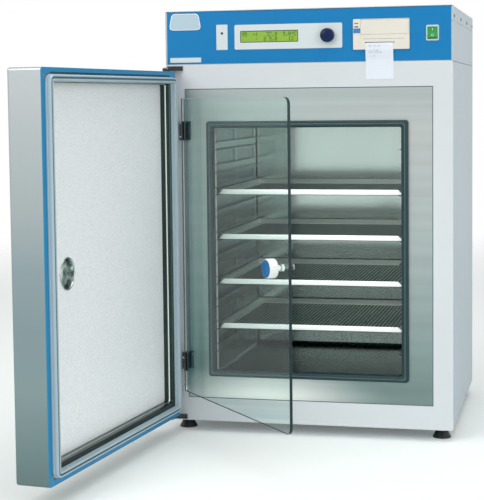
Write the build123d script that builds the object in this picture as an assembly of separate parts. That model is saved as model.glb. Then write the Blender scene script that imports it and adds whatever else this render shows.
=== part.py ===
from build123d import *
import os
from math import cos, pi, radians, sin

# Bench-top carbon dioxide incubator: a solid outer door over a glass inner door, a warm stainless
# chamber with four mesh shelves, and a control box on top. All sizes are millimetres.
# Pieces are drawn from the lower front left corner of the cabinet: x runs to the right along the
# front, y runs from the front plane into the cabinet, and z is the height above the bench.
# place() moves the finished pieces to the middle of the footprint. Both doors are drawn closed
# and are then swung to the angles at which they rest.

# Cabinet
CABINET_WIDTH = 600.0
CABINET_DEPTH = 525.0
CABINET_HEIGHT = 890.0
FOOT_CLEARANCE = 24.0
CONTROL_HEIGHT = 112.0
CASING_SHEET = 1.5
CASING_BEND = 3.0
SEAM = 0.3
FRAME_RETURN = 18.0
REAR_FOLD = 9.0
FOAM_START = 25.0
FOAM_GAP = 0.5
FOAM_WALL = 50.0
FOAM_REAR = 30.0

# Stainless plate around the mouth of the chamber
INSERT_SIDE_MARGIN = 40.0
INSERT_BOTTOM_MARGIN = 49.0
INSERT_TOP_MARGIN = 50.0
INSERT_SHEET = 1.2
INSERT_RECESS = 0.4
INSERT_FOLD = 11.0

# Chamber
CHAMBER_SIDE_WALL = 97.0
CHAMBER_REAR_WALL = 60.0
CHAMBER_FLOOR_RISE = 93.0
CHAMBER_CEILING_DROP = 114.0
LINER_SHEET = 1.2
LINER_CORNER = 12.0
LINER_FLANGE = 14.0
MOUTH_WIDTH = 392.0
MOUTH_SILL = 18.0
MOUTH_CORNER = 4.0
SEAL_CORNER = 5.6
SEAL_BAND = 14.0
SEAL_PROUD = 11.7
SEAL_ROUND = 4.6
SEAL_SLEEVE = 2.2
SEAL_BARB = 3.0

# Air duct at the back of the chamber
DUCT_DEPTH = 34.0
DUCT_SHEET = 1.2
DUCT_SIDE_GAP = 1.2
DUCT_FLOOR_GAP = 9.0
DUCT_TOP_GAP = 4.0
DUCT_SLOTS = 15
DUCT_SLOT_WIDTH = 12.0
DUCT_SLOT_HEIGHT = 8.0
FAN_DROP = 89.0
FAN_RADIUS = 58.0
FAN_WIDTH = 17.0
FAN_HUB_RADIUS = 16.0
FAN_BLADES = 12
FAN_BLADE_SHEET = 1.2
FAN_REAR_GAP = 8.0
SHAFT_RADIUS = 3.0
RUNNING_GAP = 0.05
HEATER_RADIUS = 70.0
HEATER_TUBE = 3.2
HEATER_GAP_ANGLE = 50.0
HEATER_FERRULE = 4.2
HEATER_TAIL = 12.0
MOTOR_RADIUS = 27.0
MOTOR_LENGTH = 40.0
MOTOR_FLANGE = 38.0
PROBE_SPREAD = 128.0

# Shelves and their racks
SHELF_COUNT = 4
RAILS_BELOW_FIRST_SHELF = 1
RAILS_PER_SHELF = 2
RAIL_COUNT = 10
RAIL_HEIGHT = 17.5
RAIL_BOTTOM_MARGIN = 42.6
RAIL_TOP_MARGIN = 26.5
RAIL_LEDGE = 14.7
RAIL_LIP = 10.5
RACK_SHEET = 1.0
RACK_WALL_GAP = 0.3
RACK_FRONT = 20.0
RACK_DUCT_GAP = 11.0
RACK_BOTTOM_RISE = 10.0
RACK_TOP_DROP = 22.0
UPRIGHT_WIDTH = 22.0
UPRIGHT_FLANGE = 2.7
SHELF_FRONT = 30.0
SHELF_SHEET = 1.0
SHELF_LIP = 11.5
SHELF_SIDE_GAP = 1.0
SHELF_RIM = 14.0
MESH_COLUMNS = 8
MESH_ROWS = 8
MESH_STRAND = 7.0

# Outer door
DOOR_EDGE_GAP = 1.0
DOOR_BOTTOM_GAP = 14.0
DOOR_TOP_GAP = 14.0
DOOR_THICKNESS = 67.0
DOOR_STANDOFF = 11.5
DOOR_SHEET = 1.5
DOOR_BEND = 5.0
DOOR_PIN_INSET = 7.5
DOOR_PIN_STANDOFF = 28.0
DOOR_REST_ANGLE = 96.1
RIM_WIDTH = 12.0
RIM_SHEET = 2.0
RIM_LEG = 8.0
DOOR_SEAL_WIDTH = 13.0
DOOR_SEAL_PROUD = 11.2
DOOR_SEAL_NECK = 7.0
DOOR_SEAL_HEAD = 11.0
RECESS_SIDE = 31.0
RECESS_TOP = 26.5
RECESS_BOTTOM = 34.5
RECESS_DEPTH = 20.8
RECESS_CORNER = 6.0
PANEL_SHEET = 1.2
PANEL_LEDGE = 14.0
CUP_OFFSET = 1.5
CUP_RIM_RADIUS = 29.0
CUP_MOUTH_RADIUS = 26.0
CUP_DEPTH = 25.0
CUP_WALL = 1.2
GRIP_INSET = 24.0
GRIP_WIDTH = 40.0
GRIP_HEIGHT = 150.0
GRIP_DEPTH = 22.0
GRIP_WALL = 2.0
GRIP_FLANGE = 5.0
GRIP_PROUD = 1.5

# Outer door hinges
DOOR_PIN_RADIUS = 4.0
DOOR_PIN_REACH = 14.0
BUSH_RADIUS = 5.6
BUSH_FLANGE_RADIUS = 7.2
BUSH_FLANGE = 1.8
BRACKET_SHEET = 4.5
BRACKET_NOSE = 8.0
BRACKET_LEFT = 3.0
BRACKET_WIDTH = 34.0
BRACKET_FLANGE_HEIGHT = 9.5
BRACKET_FLANGE = 3.0
PIN_HEAD_RADIUS = 6.0
PIN_HEAD = 2.0
PRESS_GAP = 0.02

# Glass door
GLASS_THICKNESS = 6.0
GLASS_STANDOFF = 12.0
GLASS_PIVOT_INSET = 51.0
GLASS_PIVOT_STANDOFF = 7.5
GLASS_EDGE_OFFSET = 10.0
GLASS_OVERLAP_FREE = 4.6
GLASS_OVERLAP_BELOW = 30.2
GLASS_OVERLAP_ABOVE = 48.5
GLASS_CORNER = 14.0
GLASS_REST_ANGLE = 49.9
CLAMP_HEIGHT = 39.0
CLAMP_SHEET = 4.0
CLAMP_INNER_SHEET = 3.2
CLAMP_WEB = 3.0
CLAMP_REACH = 7.0
CLAMP_ROUND = 4.0
LOWER_CLAMP_RISE = 43.2
UPPER_CLAMP_DROP = 48.5
KNUCKLE_RADIUS = 5.0
KNUCKLE_SHARE = 0.5
KNUCKLE_GAP = 0.3
GLASS_PIN_RADIUS = 2.2
HINGE_LEAF = 2.0
HINGE_LEAF_WIDTH = 22.0
BUMPER_RADIUS = 6.0
BUMPER_TIP_RADIUS = 2.8
BUMPER_LENGTH = 9.0
BUMPER_DROP = 28.5
BUMPER_INSET = 56.0

# Latch through the glass
LATCH_INSET = 26.0
LATCH_ABOVE_MIDDLE = 5.5
KNOB_RADIUS = 18.1
KNOB_LENGTH = 18.0
KNOB_STANDOFF = 9.5
KNOB_CAP_RADIUS = 16.5
KNOB_CAP = 2.0
KNOB_CAP_SEAT = 1.2
SPINDLE_RADIUS = 3.0
SPINDLE_SEAT_DEPTH = 12.0
TONGUE_LENGTH = 29.5
TONGUE_WIDTH = 10.0
TONGUE_SHEET = 3.0
TONGUE_DEPTH = 9.5
LATCH_BUSH_RADIUS = 4.2
LATCH_WASHER_RADIUS = 6.0
LATCH_WASHER = 7.0
LATCH_NUT_RADIUS = 7.0
LATCH_NUT = 5.0
KEEPER_DEPTH = 7.0
KEEPER_SLACK = 3.0

# Fascia and what it carries
TRIM = 3.5
FASCIA_SHEET = 2.0
FASCIA_RETURN = 12.0
FASCIA_SEAM = 1.0
LID_FLANGE = 31.0
LID_SEAM = 0.5
JOGGLE_HEIGHT = 24.0
PLATE_SHEET = 1.0
BADGE_MARGIN = 4.2
BADGE_WIDTH = 70.0
BADGE_HEIGHT = 34.6
BADGE_DROP = 5.4
BADGE_TAPER = 6.0
BADGE_CORNER = 9.0
STRIP_INSET = 2.0
STRIP_WIDTH = 67.0
STRIP_HEIGHT = 10.0
STRIP_RISE = 5.0
LAMP_PLATE_GAP = 32.5
LAMP_PLATE_WIDTH = 23.9
LAMP_PLATE_HEIGHT = 52.2
LAMP_RADIUS = 2.5
LAMP_RISE = 34.2
DISPLAY_GAP = 15.1
DISPLAY_WIDTH = 225.9
DISPLAY_HEIGHT = 51.0
DISPLAY_RISE = 30.0
DISPLAY_CORNER = 3.0
SCREEN_INSET = 12.0
SCREEN_WIDTH = 122.3
SCREEN_HEIGHT = 24.4
SCREEN_RISE = 14.0
SCREEN_BORDER = 8.0
SCREEN_MODULE_DEPTH = 11.0
ENCODER_INSET = 30.0
ENCODER_RISE = 25.8
ENCODER_RADIUS = 14.65
ENCODER_LENGTH = 15.0
ENCODER_GRIPS = 18
ENCODER_SHAFT_RADIUS = 3.0
ENCODER_BUSH_RADIUS = 4.5
PRINTER_GAP = 22.6
PRINTER_WIDTH = 115.0
PRINTER_HEIGHT = 62.0
PRINTER_RISE = 25.0
PRINTER_PROUD = 4.0
PRINTER_CORNER = 2.0
PRINTER_WALL = 2.5
PRINTER_DEPTH = 58.0
PRINTER_COLUMN = 15.5
COVER_SPLIT = 31.0
COVER_SHEET = 3.0
COVER_GAP = 0.4
COVER_PIN_RADIUS = 0.9
FEED_BUTTON_WIDTH = 13.0
FEED_BUTTON_HEIGHT = 8.4
FEED_BUTTON_RISE = 34.2
FEED_BUTTON_PROUD = 1.4
FEED_TRAVEL = 1.2
FEED_STEM = 8.0
PAPER_WIDTH = 56.5
PAPER_LEFT = 25.5
PAPER_THICKNESS = 0.2
PAPER_SLOT_RISE = 14.0
PAPER_SLOT_HEIGHT = 2.4
PAPER_ROLL_RADIUS = 17.0
PAPER_CORE_RADIUS = 6.0
PAPER_HANG = 35.0
SWITCH_GAP = 33.0
SWITCH_MARGIN = 24.2
SWITCH_WIDTH = 26.0
SWITCH_HEIGHT = 31.5
SWITCH_RISE = 40.8
SWITCH_CORNER = 3.0
SWITCH_PROUD = 2.0
SWITCH_BODY_DEPTH = 22.0
ROCKER_WIDTH = 19.4
ROCKER_HEIGHT = 23.4
ROCKER_TILT = 8.0
ROCKER_GAP = 0.5

# Electrics and services behind the control box
BOARD_WIDTH = 150.0
BOARD_DEPTH = 110.0
BOARD_SHEET = 1.6
BOARD_RISE = 8.0
SUPPLY_WIDTH = 98.0
SUPPLY_DEPTH = 160.0
SUPPLY_HEIGHT = 40.0
SERVICE_RISE = 45.0
MAINS_MARGIN = 90.0
GAS_MARGIN = 95.0
LOUVRE_COUNT = 9
LOUVRE_WIDTH = 60.0
LOUVRE_HEIGHT = 3.0
LOUVRE_PITCH = 8.0
SCREW_HEAD_RADIUS = 3.6
SCREW_HEAD = 1.6
SCREW_COUNT = 4
SCREW_DROP = 21.0
SCREW_END_MARGIN = 25.0

# Levelling feet
FOOT_PAD_RADIUS = 19.0
FOOT_TOP_RADIUS = 12.5
FOOT_PAD_HEIGHT = 14.0
FOOT_NUT_ACROSS = 18.5
FOOT_STUD_RADIUS = 5.0
FOOT_STUD_REACH = 12.0
FOOT_BOSS_RADIUS = 10.0
FOOT_BOSS_HEIGHT = 12.0
FOOT_SIDE_INSET = 27.0
FOOT_FRONT_INSET = 45.0
FOOT_REAR_INSET = 60.0

# Planes and lines that several pieces share
BODY_BOTTOM = FOOT_CLEARANCE
BODY_TOP = CABINET_HEIGHT - CONTROL_HEIGHT
CENTRE_X = CABINET_WIDTH / 2
CHAMBER_X = (CHAMBER_SIDE_WALL, CABINET_WIDTH - CHAMBER_SIDE_WALL)
CHAMBER_FLOOR = BODY_BOTTOM + CHAMBER_FLOOR_RISE
CHAMBER_CEILING = BODY_TOP - CHAMBER_CEILING_DROP
CHAMBER_DEPTH = CABINET_DEPTH - CHAMBER_REAR_WALL
MOUTH_X = (CENTRE_X - MOUTH_WIDTH / 2, CENTRE_X + MOUTH_WIDTH / 2)
MOUTH_Z = (CHAMBER_FLOOR + MOUTH_SILL, CHAMBER_CEILING - MOUTH_SILL)
INSERT_X = (INSERT_SIDE_MARGIN, CABINET_WIDTH - INSERT_SIDE_MARGIN)
INSERT_Z = (BODY_BOTTOM + INSERT_BOTTOM_MARGIN, BODY_TOP - INSERT_TOP_MARGIN)
LINER_FRONT = INSERT_RECESS + INSERT_SHEET
DUCT_FACE = CHAMBER_DEPTH - DUCT_DEPTH
DOOR_X = (DOOR_EDGE_GAP, CABINET_WIDTH - DOOR_EDGE_GAP)
DOOR_Z = (BODY_BOTTOM + DOOR_BOTTOM_GAP, BODY_TOP - DOOR_TOP_GAP)
DOOR_INNER_FACE = -DOOR_STANDOFF
DOOR_OUTER_FACE = -DOOR_STANDOFF - DOOR_THICKNESS
DOOR_PIN = (DOOR_EDGE_GAP + DOOR_PIN_INSET, -DOOR_PIN_STANDOFF)
PANEL_FACE = DOOR_INNER_FACE - RECESS_DEPTH
GLASS_PIN = (MOUTH_X[0] - SEAL_BAND - GLASS_PIVOT_INSET, -GLASS_PIVOT_STANDOFF)
GLASS_X = (GLASS_PIN[0] + GLASS_EDGE_OFFSET, MOUTH_X[1] + SEAL_BAND + GLASS_OVERLAP_FREE)
GLASS_Z = (MOUTH_Z[0] - SEAL_BAND - GLASS_OVERLAP_BELOW, MOUTH_Z[1] + SEAL_BAND + GLASS_OVERLAP_ABOVE)
GLASS_Y = (-GLASS_STANDOFF - GLASS_THICKNESS, -GLASS_STANDOFF)
LATCH_X = CHAMBER_X[1] - LATCH_INSET
LATCH_Z = (CHAMBER_FLOOR + CHAMBER_CEILING) / 2 + LATCH_ABOVE_MIDDLE
DECK_TOP = BODY_TOP + CASING_SHEET
FASCIA_Z = (DECK_TOP + SEAM, CABINET_HEIGHT - CASING_SHEET - FASCIA_SEAM)
FAN_Z = CHAMBER_CEILING - FAN_DROP
RACK_Z = (CHAMBER_FLOOR + RACK_BOTTOM_RISE, CHAMBER_CEILING - RACK_TOP_DROP)
RACK_Y = (RACK_FRONT, DUCT_FACE - RACK_DUCT_GAP)
RAIL_SPAN = RACK_Z[1] - RACK_Z[0] - RAIL_BOTTOM_MARGIN - RAIL_TOP_MARGIN - RAIL_HEIGHT
RAIL_PITCH = RAIL_SPAN / (RAIL_COUNT - 1)
SHELF_Y = (SHELF_FRONT, DUCT_FACE - RACK_DUCT_GAP)
SHELF_X = (MOUTH_X[0] + SHELF_SIDE_GAP, MOUTH_X[1] - SHELF_SIDE_GAP)


def front_view(y):
    """Plane whose sketches read as x and z when the cabinet is seen from the front."""
    return Plane(origin=(0, y, 0), x_dir=(1, 0, 0), z_dir=(0, -1, 0))


def side_view(x):
    """Plane whose sketches read as y and z when the cabinet is seen from its right side."""
    return Plane(origin=(x, 0, 0), x_dir=(0, 1, 0), z_dir=(1, 0, 0))


def through(sketch, y_front, y_back):
    """Carry a front view sketch through the depth between two y values."""
    return extrude(front_view(y_back) * sketch, amount=y_back - y_front)


def across(sketch, x_left, x_right):
    """Carry a side view sketch across the width between two x values."""
    return extrude(side_view(x_left) * sketch, amount=x_right - x_left)


def upward(sketch, z_low, z_high):
    """Carry a plan view sketch up between two z values."""
    return extrude(Pos(0, 0, z_low) * sketch, amount=z_high - z_low)


def patch(first, second, radius=0.0):
    """Rectangle between two spans, with rounded corners where a radius is given."""
    width = first[1] - first[0]
    height = second[1] - second[0]
    outline = RectangleRounded(width, height, radius) if radius else Rectangle(width, height)
    return Pos((first[0] + first[1]) / 2, (second[0] + second[1]) / 2) * outline


def grown(span, amount):
    """Span made longer by the same amount at both ends."""
    return (span[0] - amount, span[1] + amount)


def centred(middle, length):
    """Span of a given length about its middle."""
    return (middle - length / 2, middle + length / 2)


def started(low, length):
    """Span of a given length from its low end."""
    return (low, low + length)


def turned_front(x, z, outline):
    """Turn a half outline of radius and height about a line that points out of the front."""
    profile = make_face(Polyline(*outline, close=True))
    solid = revolve(Plane.XZ * profile, axis=Axis.Z)
    return Location((x, 0, z), (90, 0, 0)) * solid


def turned_up(x, y, outline):
    """Turn a half outline of radius and height about a vertical line."""
    profile = make_face(Polyline(*outline, close=True))
    return Pos(x, y, 0) * revolve(Plane.XZ * profile, axis=Axis.Z)


def peg(x, y, radius, z_low, z_high):
    """Upright cylinder."""
    return upward(Pos(x, y) * Circle(radius), z_low, z_high)


def rod(x, z, radius, y_front, y_back):
    """Cylinder that points out of the front."""
    return through(Pos(x, z) * Circle(radius), y_front, y_back)


def swung(piece, pin, angle):
    """Open a closed door piece by an angle about its upright pin."""
    return Pos(pin[0], pin[1], 0) * Rot(0, 0, -angle) * Pos(-pin[0], -pin[1], 0) * piece


def foot_places():
    """Name and middle of each levelling foot."""
    rows = {"front": FOOT_FRONT_INSET, "rear": CABINET_DEPTH - FOOT_REAR_INSET}
    columns = {"left": FOOT_SIDE_INSET, "right": CABINET_WIDTH - FOOT_SIDE_INSET}
    return {f"{row}_{side}": (x, y) for row, y in rows.items() for side, x in columns.items()}


def cabinet_shell():
    """Wrapped body sheet, open at the front and back, with the threaded bosses of the feet."""
    outside = patch((0, CABINET_WIDTH), (BODY_BOTTOM, BODY_TOP), CASING_BEND)
    inside = patch(
        (CASING_SHEET, CABINET_WIDTH - CASING_SHEET),
        (BODY_BOTTOM + CASING_SHEET, BODY_TOP - CASING_SHEET),
        CASING_BEND - CASING_SHEET,
    )
    shell = through(outside - inside, CASING_SHEET, CABINET_DEPTH - CASING_SHEET)
    top_of_boss = BODY_BOTTOM + FOOT_BOSS_HEIGHT
    for x, y in foot_places().values():
        shell += peg(x, y, FOOT_BOSS_RADIUS, BODY_BOTTOM + CASING_SHEET, top_of_boss)
        shell -= peg(x, y, FOOT_STUD_RADIUS + RUNNING_GAP, BODY_BOTTOM, top_of_boss)
    return shell


def front_frame():
    """Painted front sheet of the body with folded edges outside and round the window."""
    face = patch((0, CABINET_WIDTH), (BODY_BOTTOM, BODY_TOP), CASING_BEND)
    frame = through(face - patch(INSERT_X, INSERT_Z), 0, CASING_SHEET)
    nest = CASING_SHEET + SEAM
    outer_x = grown((0, CABINET_WIDTH), -nest)
    outer_z = grown((BODY_BOTTOM, BODY_TOP), -nest)
    outer_fold = patch(outer_x, outer_z, CASING_BEND - nest) - patch(
        grown(outer_x, -CASING_SHEET), grown(outer_z, -CASING_SHEET)
    )
    window_fold = patch(grown(INSERT_X, CASING_SHEET), grown(INSERT_Z, CASING_SHEET)) - patch(
        INSERT_X, INSERT_Z
    )
    frame += through(outer_fold, CASING_SHEET, FRAME_RETURN)
    frame += through(window_fold, CASING_SHEET, FRAME_RETURN)
    return frame


def face_insert():
    """Stainless plate round the mouth, sunk a little into the painted frame and folded back."""
    plate_x = grown(INSERT_X, -SEAM)
    plate_z = grown(INSERT_Z, -SEAM)
    mouth = patch(
        grown(MOUTH_X, SEAL_SLEEVE + SEAM), grown(MOUTH_Z, SEAL_SLEEVE + SEAM), MOUTH_CORNER
    )
    plate = through(patch(plate_x, plate_z) - mouth, INSERT_RECESS, INSERT_RECESS + INSERT_SHEET)
    fold = patch(plate_x, plate_z) - patch(
        grown(plate_x, -INSERT_SHEET), grown(plate_z, -INSERT_SHEET)
    )
    return plate + through(fold, INSERT_RECESS, INSERT_RECESS + INSERT_FOLD)


def chamber_seal():
    """Rubber bulb seal round the mouth, held by a sleeve and a barb behind the stainless plate."""
    bulb = through(
        patch(grown(MOUTH_X, SEAL_BAND), grown(MOUTH_Z, SEAL_BAND), SEAL_CORNER)
        - patch(MOUTH_X, MOUTH_Z, MOUTH_CORNER),
        -SEAL_PROUD,
        INSERT_RECESS,
    )
    bulb = fillet(bulb.faces().sort_by(Axis.Y)[0].edges(), SEAL_ROUND)
    opening = patch(MOUTH_X, MOUTH_Z, MOUTH_CORNER)
    sleeve = patch(grown(MOUTH_X, SEAL_SLEEVE), grown(MOUTH_Z, SEAL_SLEEVE), MOUTH_CORNER)
    barb = patch(
        grown(MOUTH_X, SEAL_SLEEVE + SEAL_BARB), grown(MOUTH_Z, SEAL_SLEEVE + SEAL_BARB), MOUTH_CORNER
    )
    back = LINER_FRONT + SEAL_BARB
    seal = bulb + through(sleeve - opening, INSERT_RECESS, back)
    return seal + through(barb - opening, LINER_FRONT, back)


def liner_box(growth, y_front, y_back):
    """Solid block with the chamber's rounded section, grown by a wall where one is asked."""
    outline = patch(
        grown(CHAMBER_X, growth), grown((CHAMBER_FLOOR, CHAMBER_CEILING), growth), LINER_CORNER + growth
    )
    return through(outline, y_front, y_back)


def keeper_pocket(growth):
    """Space that the latch tongue turns into, in the right wall of the chamber."""
    reach = TONGUE_WIDTH / 2 + KEEPER_SLACK + growth
    depth = (TONGUE_DEPTH - KEEPER_SLACK - growth, TONGUE_DEPTH + TONGUE_SHEET + KEEPER_SLACK + growth)
    height = (LATCH_Z - reach - TONGUE_WIDTH, LATCH_Z + reach + TONGUE_WIDTH)
    side = (CHAMBER_X[1] - LINER_SHEET, CHAMBER_X[1] + KEEPER_DEPTH + growth)
    return across(patch(depth, height), *side)


def chamber_liner():
    """Stainless chamber with a front flange, a back wall and a pressed pocket for the latch."""
    rear = CHAMBER_DEPTH + LINER_SHEET
    liner = liner_box(LINER_SHEET, LINER_FRONT, rear)
    liner += liner_box(LINER_FLANGE, LINER_FRONT, LINER_FRONT + LINER_SHEET)
    liner += keeper_pocket(LINER_SHEET)
    liner -= liner_box(0, LINER_FRONT, CHAMBER_DEPTH)
    liner -= keeper_pocket(0)
    liner -= rod(CENTRE_X, FAN_Z, SHAFT_RADIUS + HEATER_TUBE, CHAMBER_DEPTH, rear)
    for x, z in heater_ends():
        liner -= rod(x, z, HEATER_TUBE + PRESS_GAP, CHAMBER_DEPTH, rear)
    return liner


def heater_ends():
    """Places where the two ends of the heater pass through the back wall."""
    half = radians(HEATER_GAP_ANGLE / 2)
    drop = HEATER_RADIUS * cos(half)
    spread = HEATER_RADIUS * sin(half)
    return [(CENTRE_X - spread, FAN_Z - drop), (CENTRE_X + spread, FAN_Z - drop)]


def air_heater():
    """Tubular heater bent round the fan, with both ends turned back through the wall."""
    middle = CHAMBER_DEPTH - FAN_REAR_GAP - FAN_WIDTH / 2
    half_gap = HEATER_GAP_ANGLE / 2
    ring = Torus(HEATER_RADIUS, HEATER_TUBE, major_angle=360 - HEATER_GAP_ANGLE)
    ring = Location((CENTRE_X, middle, FAN_Z), (90, 0, 0)) * (Rot(0, 0, half_gap - 90) * ring)
    heater = ring
    for x, z in heater_ends():
        heater += Pos(x, middle, z) * Sphere(HEATER_FERRULE)
        heater += rod(x, z, HEATER_TUBE, middle, CHAMBER_DEPTH + HEATER_TAIL)
    return heater


def duct_cover():
    """Polished sheet that hides the fan, open in a row of slots above and a gap below."""
    sheet_x = grown(CHAMBER_X, -DUCT_SIDE_GAP)
    sheet_z = (CHAMBER_FLOOR + DUCT_FLOOR_GAP, CHAMBER_CEILING - DUCT_TOP_GAP)
    cover = through(patch(sheet_x, sheet_z, LINER_CORNER), DUCT_FACE, DUCT_FACE + DUCT_SHEET)
    fold_z = grown(sheet_z, -LINER_CORNER)
    for x in (sheet_x[0], sheet_x[1] - DUCT_SHEET):
        cover += through(patch(started(x, DUCT_SHEET), fold_z), DUCT_FACE, CHAMBER_DEPTH - SEAM)
    slot_z = sheet_z[1] - DUCT_SLOT_HEIGHT
    pitch = (sheet_x[1] - sheet_x[0] - 2 * LINER_CORNER) / DUCT_SLOTS
    slots = GridLocations(pitch, 1, DUCT_SLOTS, 1) * SlotOverall(DUCT_SLOT_WIDTH, DUCT_SLOT_HEIGHT)
    row = Sketch() + [Pos(CENTRE_X, slot_z) * slot for slot in slots]
    return cover - through(row, DUCT_FACE, DUCT_FACE + DUCT_SHEET)


def fan_impeller():
    """Radial wheel: hub, back plate, swept blades and the shaft that runs in the motor."""
    back = CHAMBER_DEPTH - FAN_REAR_GAP
    front = back - FAN_WIDTH
    wheel = rod(0, 0, FAN_HUB_RADIUS, front, back) + rod(
        0, 0, FAN_RADIUS, back - FAN_BLADE_SHEET, back
    )
    chord = FAN_RADIUS - FAN_HUB_RADIUS
    sweep_angle = 28
    for index in range(FAN_BLADES):
        outline = Pos(FAN_HUB_RADIUS + chord / 2 - FAN_BLADE_SHEET, 0) * Rot(0, 0, sweep_angle)
        blade = outline * Rectangle(chord * cos(radians(sweep_angle)), FAN_BLADE_SHEET)
        wheel += through(Rot(0, 0, index * 360 / FAN_BLADES) * blade, front, back)
    wheel += rod(0, 0, SHAFT_RADIUS, back, CHAMBER_DEPTH + LINER_SHEET + MOTOR_LENGTH / 2)
    return Pos(CENTRE_X, 0, FAN_Z) * wheel


def fan_motor():
    """Motor behind the chamber: mounting flange, ribbed can and bearing bore."""
    seat = CHAMBER_DEPTH + LINER_SHEET
    end = seat + MOTOR_LENGTH
    flange = 2.5
    rib = MOTOR_RADIUS - 2
    outline = [
        (SHAFT_RADIUS + RUNNING_GAP, -seat),
        (MOTOR_FLANGE, -seat),
        (MOTOR_FLANGE, -seat - flange),
        (rib, -seat - flange),
        (rib, -seat - MOTOR_LENGTH / 3),
        (MOTOR_RADIUS, -seat - MOTOR_LENGTH / 3),
        (MOTOR_RADIUS, -end + flange),
        (rib, -end),
        (0, -end),
        (0, -seat - MOTOR_LENGTH / 2 - flange),
        (SHAFT_RADIUS + RUNNING_GAP, -seat - MOTOR_LENGTH / 2 - flange),
    ]
    return turned_front(CENTRE_X, FAN_Z, outline)


def chamber_sensors():
    """Temperature probe and gas sensor that stand in the duct beside the fan."""
    probe = [(0, 0), (7, 0), (7, 3), (2.5, 3), (2.5, 24), (1.2, 26), (0, 26)]
    cell = [(0, 0), (14, 0), (14, 3), (11, 3), (11, 20), (8, 23), (0, 23)]
    seat = Pos(0, CHAMBER_DEPTH, 0)
    return [
        seat * turned_front(CENTRE_X + PROBE_SPREAD, FAN_Z, probe),
        seat * turned_front(CENTRE_X - PROBE_SPREAD, FAN_Z, cell),
    ]


def insulation():
    """Foam jacket against the casing, with an air space round the chamber and a motor well."""
    inset = CASING_SHEET + FOAM_GAP
    outer_x = grown((0, CABINET_WIDTH), -inset)
    outer_z = (BODY_BOTTOM + FOOT_BOSS_HEIGHT + FOAM_GAP, BODY_TOP - inset)
    rear = CABINET_DEPTH - CASING_SHEET - REAR_FOLD - FOAM_GAP
    foam = through(patch(outer_x, outer_z, CASING_BEND - CASING_SHEET), FOAM_START, rear)
    space = patch(grown(outer_x, -FOAM_WALL), grown(outer_z, -FOAM_WALL))
    foam -= through(space, FOAM_START, rear - FOAM_REAR)
    return foam - rod(CENTRE_X, FAN_Z, MOTOR_FLANGE + FOAM_GAP, CHAMBER_DEPTH, rear)


def rack(side):
    """Shelf rack for one wall: three uprights joined by channel rails, folded at the front."""
    wall = CHAMBER_X[0] + RACK_WALL_GAP
    front, rear = RACK_Y
    uprights = [
        started(front, UPRIGHT_WIDTH),
        centred((front + rear) / 2, UPRIGHT_WIDTH),
        (rear - UPRIGHT_WIDTH, rear),
    ]
    plate = wall + RACK_SHEET
    frame = Part()
    for span in uprights:
        frame += across(patch(span, RACK_Z), wall, plate)
    flange = patch((wall, plate + UPRIGHT_FLANGE), RACK_Z)
    frame += through(flange, front, front + RACK_SHEET)
    for index in range(RAIL_COUNT):
        foot = rail_foot(index)
        head = foot + RAIL_HEIGHT
        channel = [
            (wall, foot),
            (plate + RAIL_LEDGE, foot),
            (plate + RAIL_LEDGE, foot + RACK_SHEET),
            (plate, foot + RACK_SHEET),
            (plate, head - RACK_SHEET),
            (plate + RAIL_LIP, head - RACK_SHEET),
            (plate + RAIL_LIP, head),
            (wall, head),
        ]
        frame += through(make_face(Polyline(*channel, close=True)), front + UPRIGHT_FLANGE, rear)
    if side == "left":
        return frame
    return mirror(frame, about=Plane(origin=(CENTRE_X, 0, 0), z_dir=(1, 0, 0)))


def rail_foot(index):
    """Height of the underside of one rail."""
    return RACK_Z[0] + RAIL_BOTTOM_MARGIN + index * RAIL_PITCH


def shelf_level(index):
    """Height of the mesh of one shelf, which lies just above its pair of rails."""
    rail = RAILS_BELOW_FIRST_SHELF + RAILS_PER_SHELF * index
    return rail_foot(rail) + RACK_SHEET + SEAM + SHELF_SHEET


def mesh_openings(x_span, y_span):
    """Staggered diamond openings of the expanded mesh."""
    pitch_x = (x_span[1] - x_span[0]) / MESH_COLUMNS
    pitch_y = (y_span[1] - y_span[0]) / MESH_ROWS
    half_x = pitch_x / 2 - MESH_STRAND / 2
    half_y = pitch_y / 2 - MESH_STRAND / 2
    diamond = make_face(Polyline((-half_x, 0), (0, -half_y), (half_x, 0), (0, half_y), close=True))
    middle = Pos((x_span[0] + x_span[1]) / 2, (y_span[0] + y_span[1]) / 2)
    squares = list(GridLocations(pitch_x, pitch_y, MESH_COLUMNS, MESH_ROWS))
    squares += list(GridLocations(pitch_x, pitch_y, MESH_COLUMNS - 1, MESH_ROWS - 1))
    return Sketch() + [middle * place * diamond for place in squares]


def shelf(index):
    """Mesh shelf with a mitred front lip and upturned side and back edges."""
    level = shelf_level(index)
    base = level - SHELF_SHEET
    front, rear = SHELF_Y
    openings = mesh_openings(grown(SHELF_X, -SHELF_RIM), grown(SHELF_Y, -SHELF_RIM))
    tray = upward(patch(SHELF_X, SHELF_Y) - openings, base, level)
    top = base + SHELF_LIP
    lip = [
        (SHELF_X[0], level),
        (SHELF_X[1], level),
        (SHELF_X[1] - SHELF_LIP, top),
        (SHELF_X[0] + SHELF_LIP, top),
    ]
    tray += through(make_face(Polyline(*lip, close=True)), front, front + SHELF_SHEET)
    back_lip = patch(SHELF_X, (level, top))
    tray += through(back_lip, rear - SHELF_SHEET, rear)
    side_lip = patch((front + SHELF_LIP, rear), (level, top))
    tray += across(side_lip, SHELF_X[0], SHELF_X[0] + SHELF_SHEET)
    tray += across(side_lip, SHELF_X[1] - SHELF_SHEET, SHELF_X[1])
    return tray


def recess_spans(growth=0.0):
    """Width and height of the sunk middle of the outer door."""
    x_span = (DOOR_X[0] + RECESS_SIDE - growth, DOOR_X[1] - RECESS_SIDE + growth)
    z_span = (DOOR_Z[0] + RECESS_BOTTOM - growth, DOOR_Z[1] - RECESS_TOP + growth)
    return x_span, z_span


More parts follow.
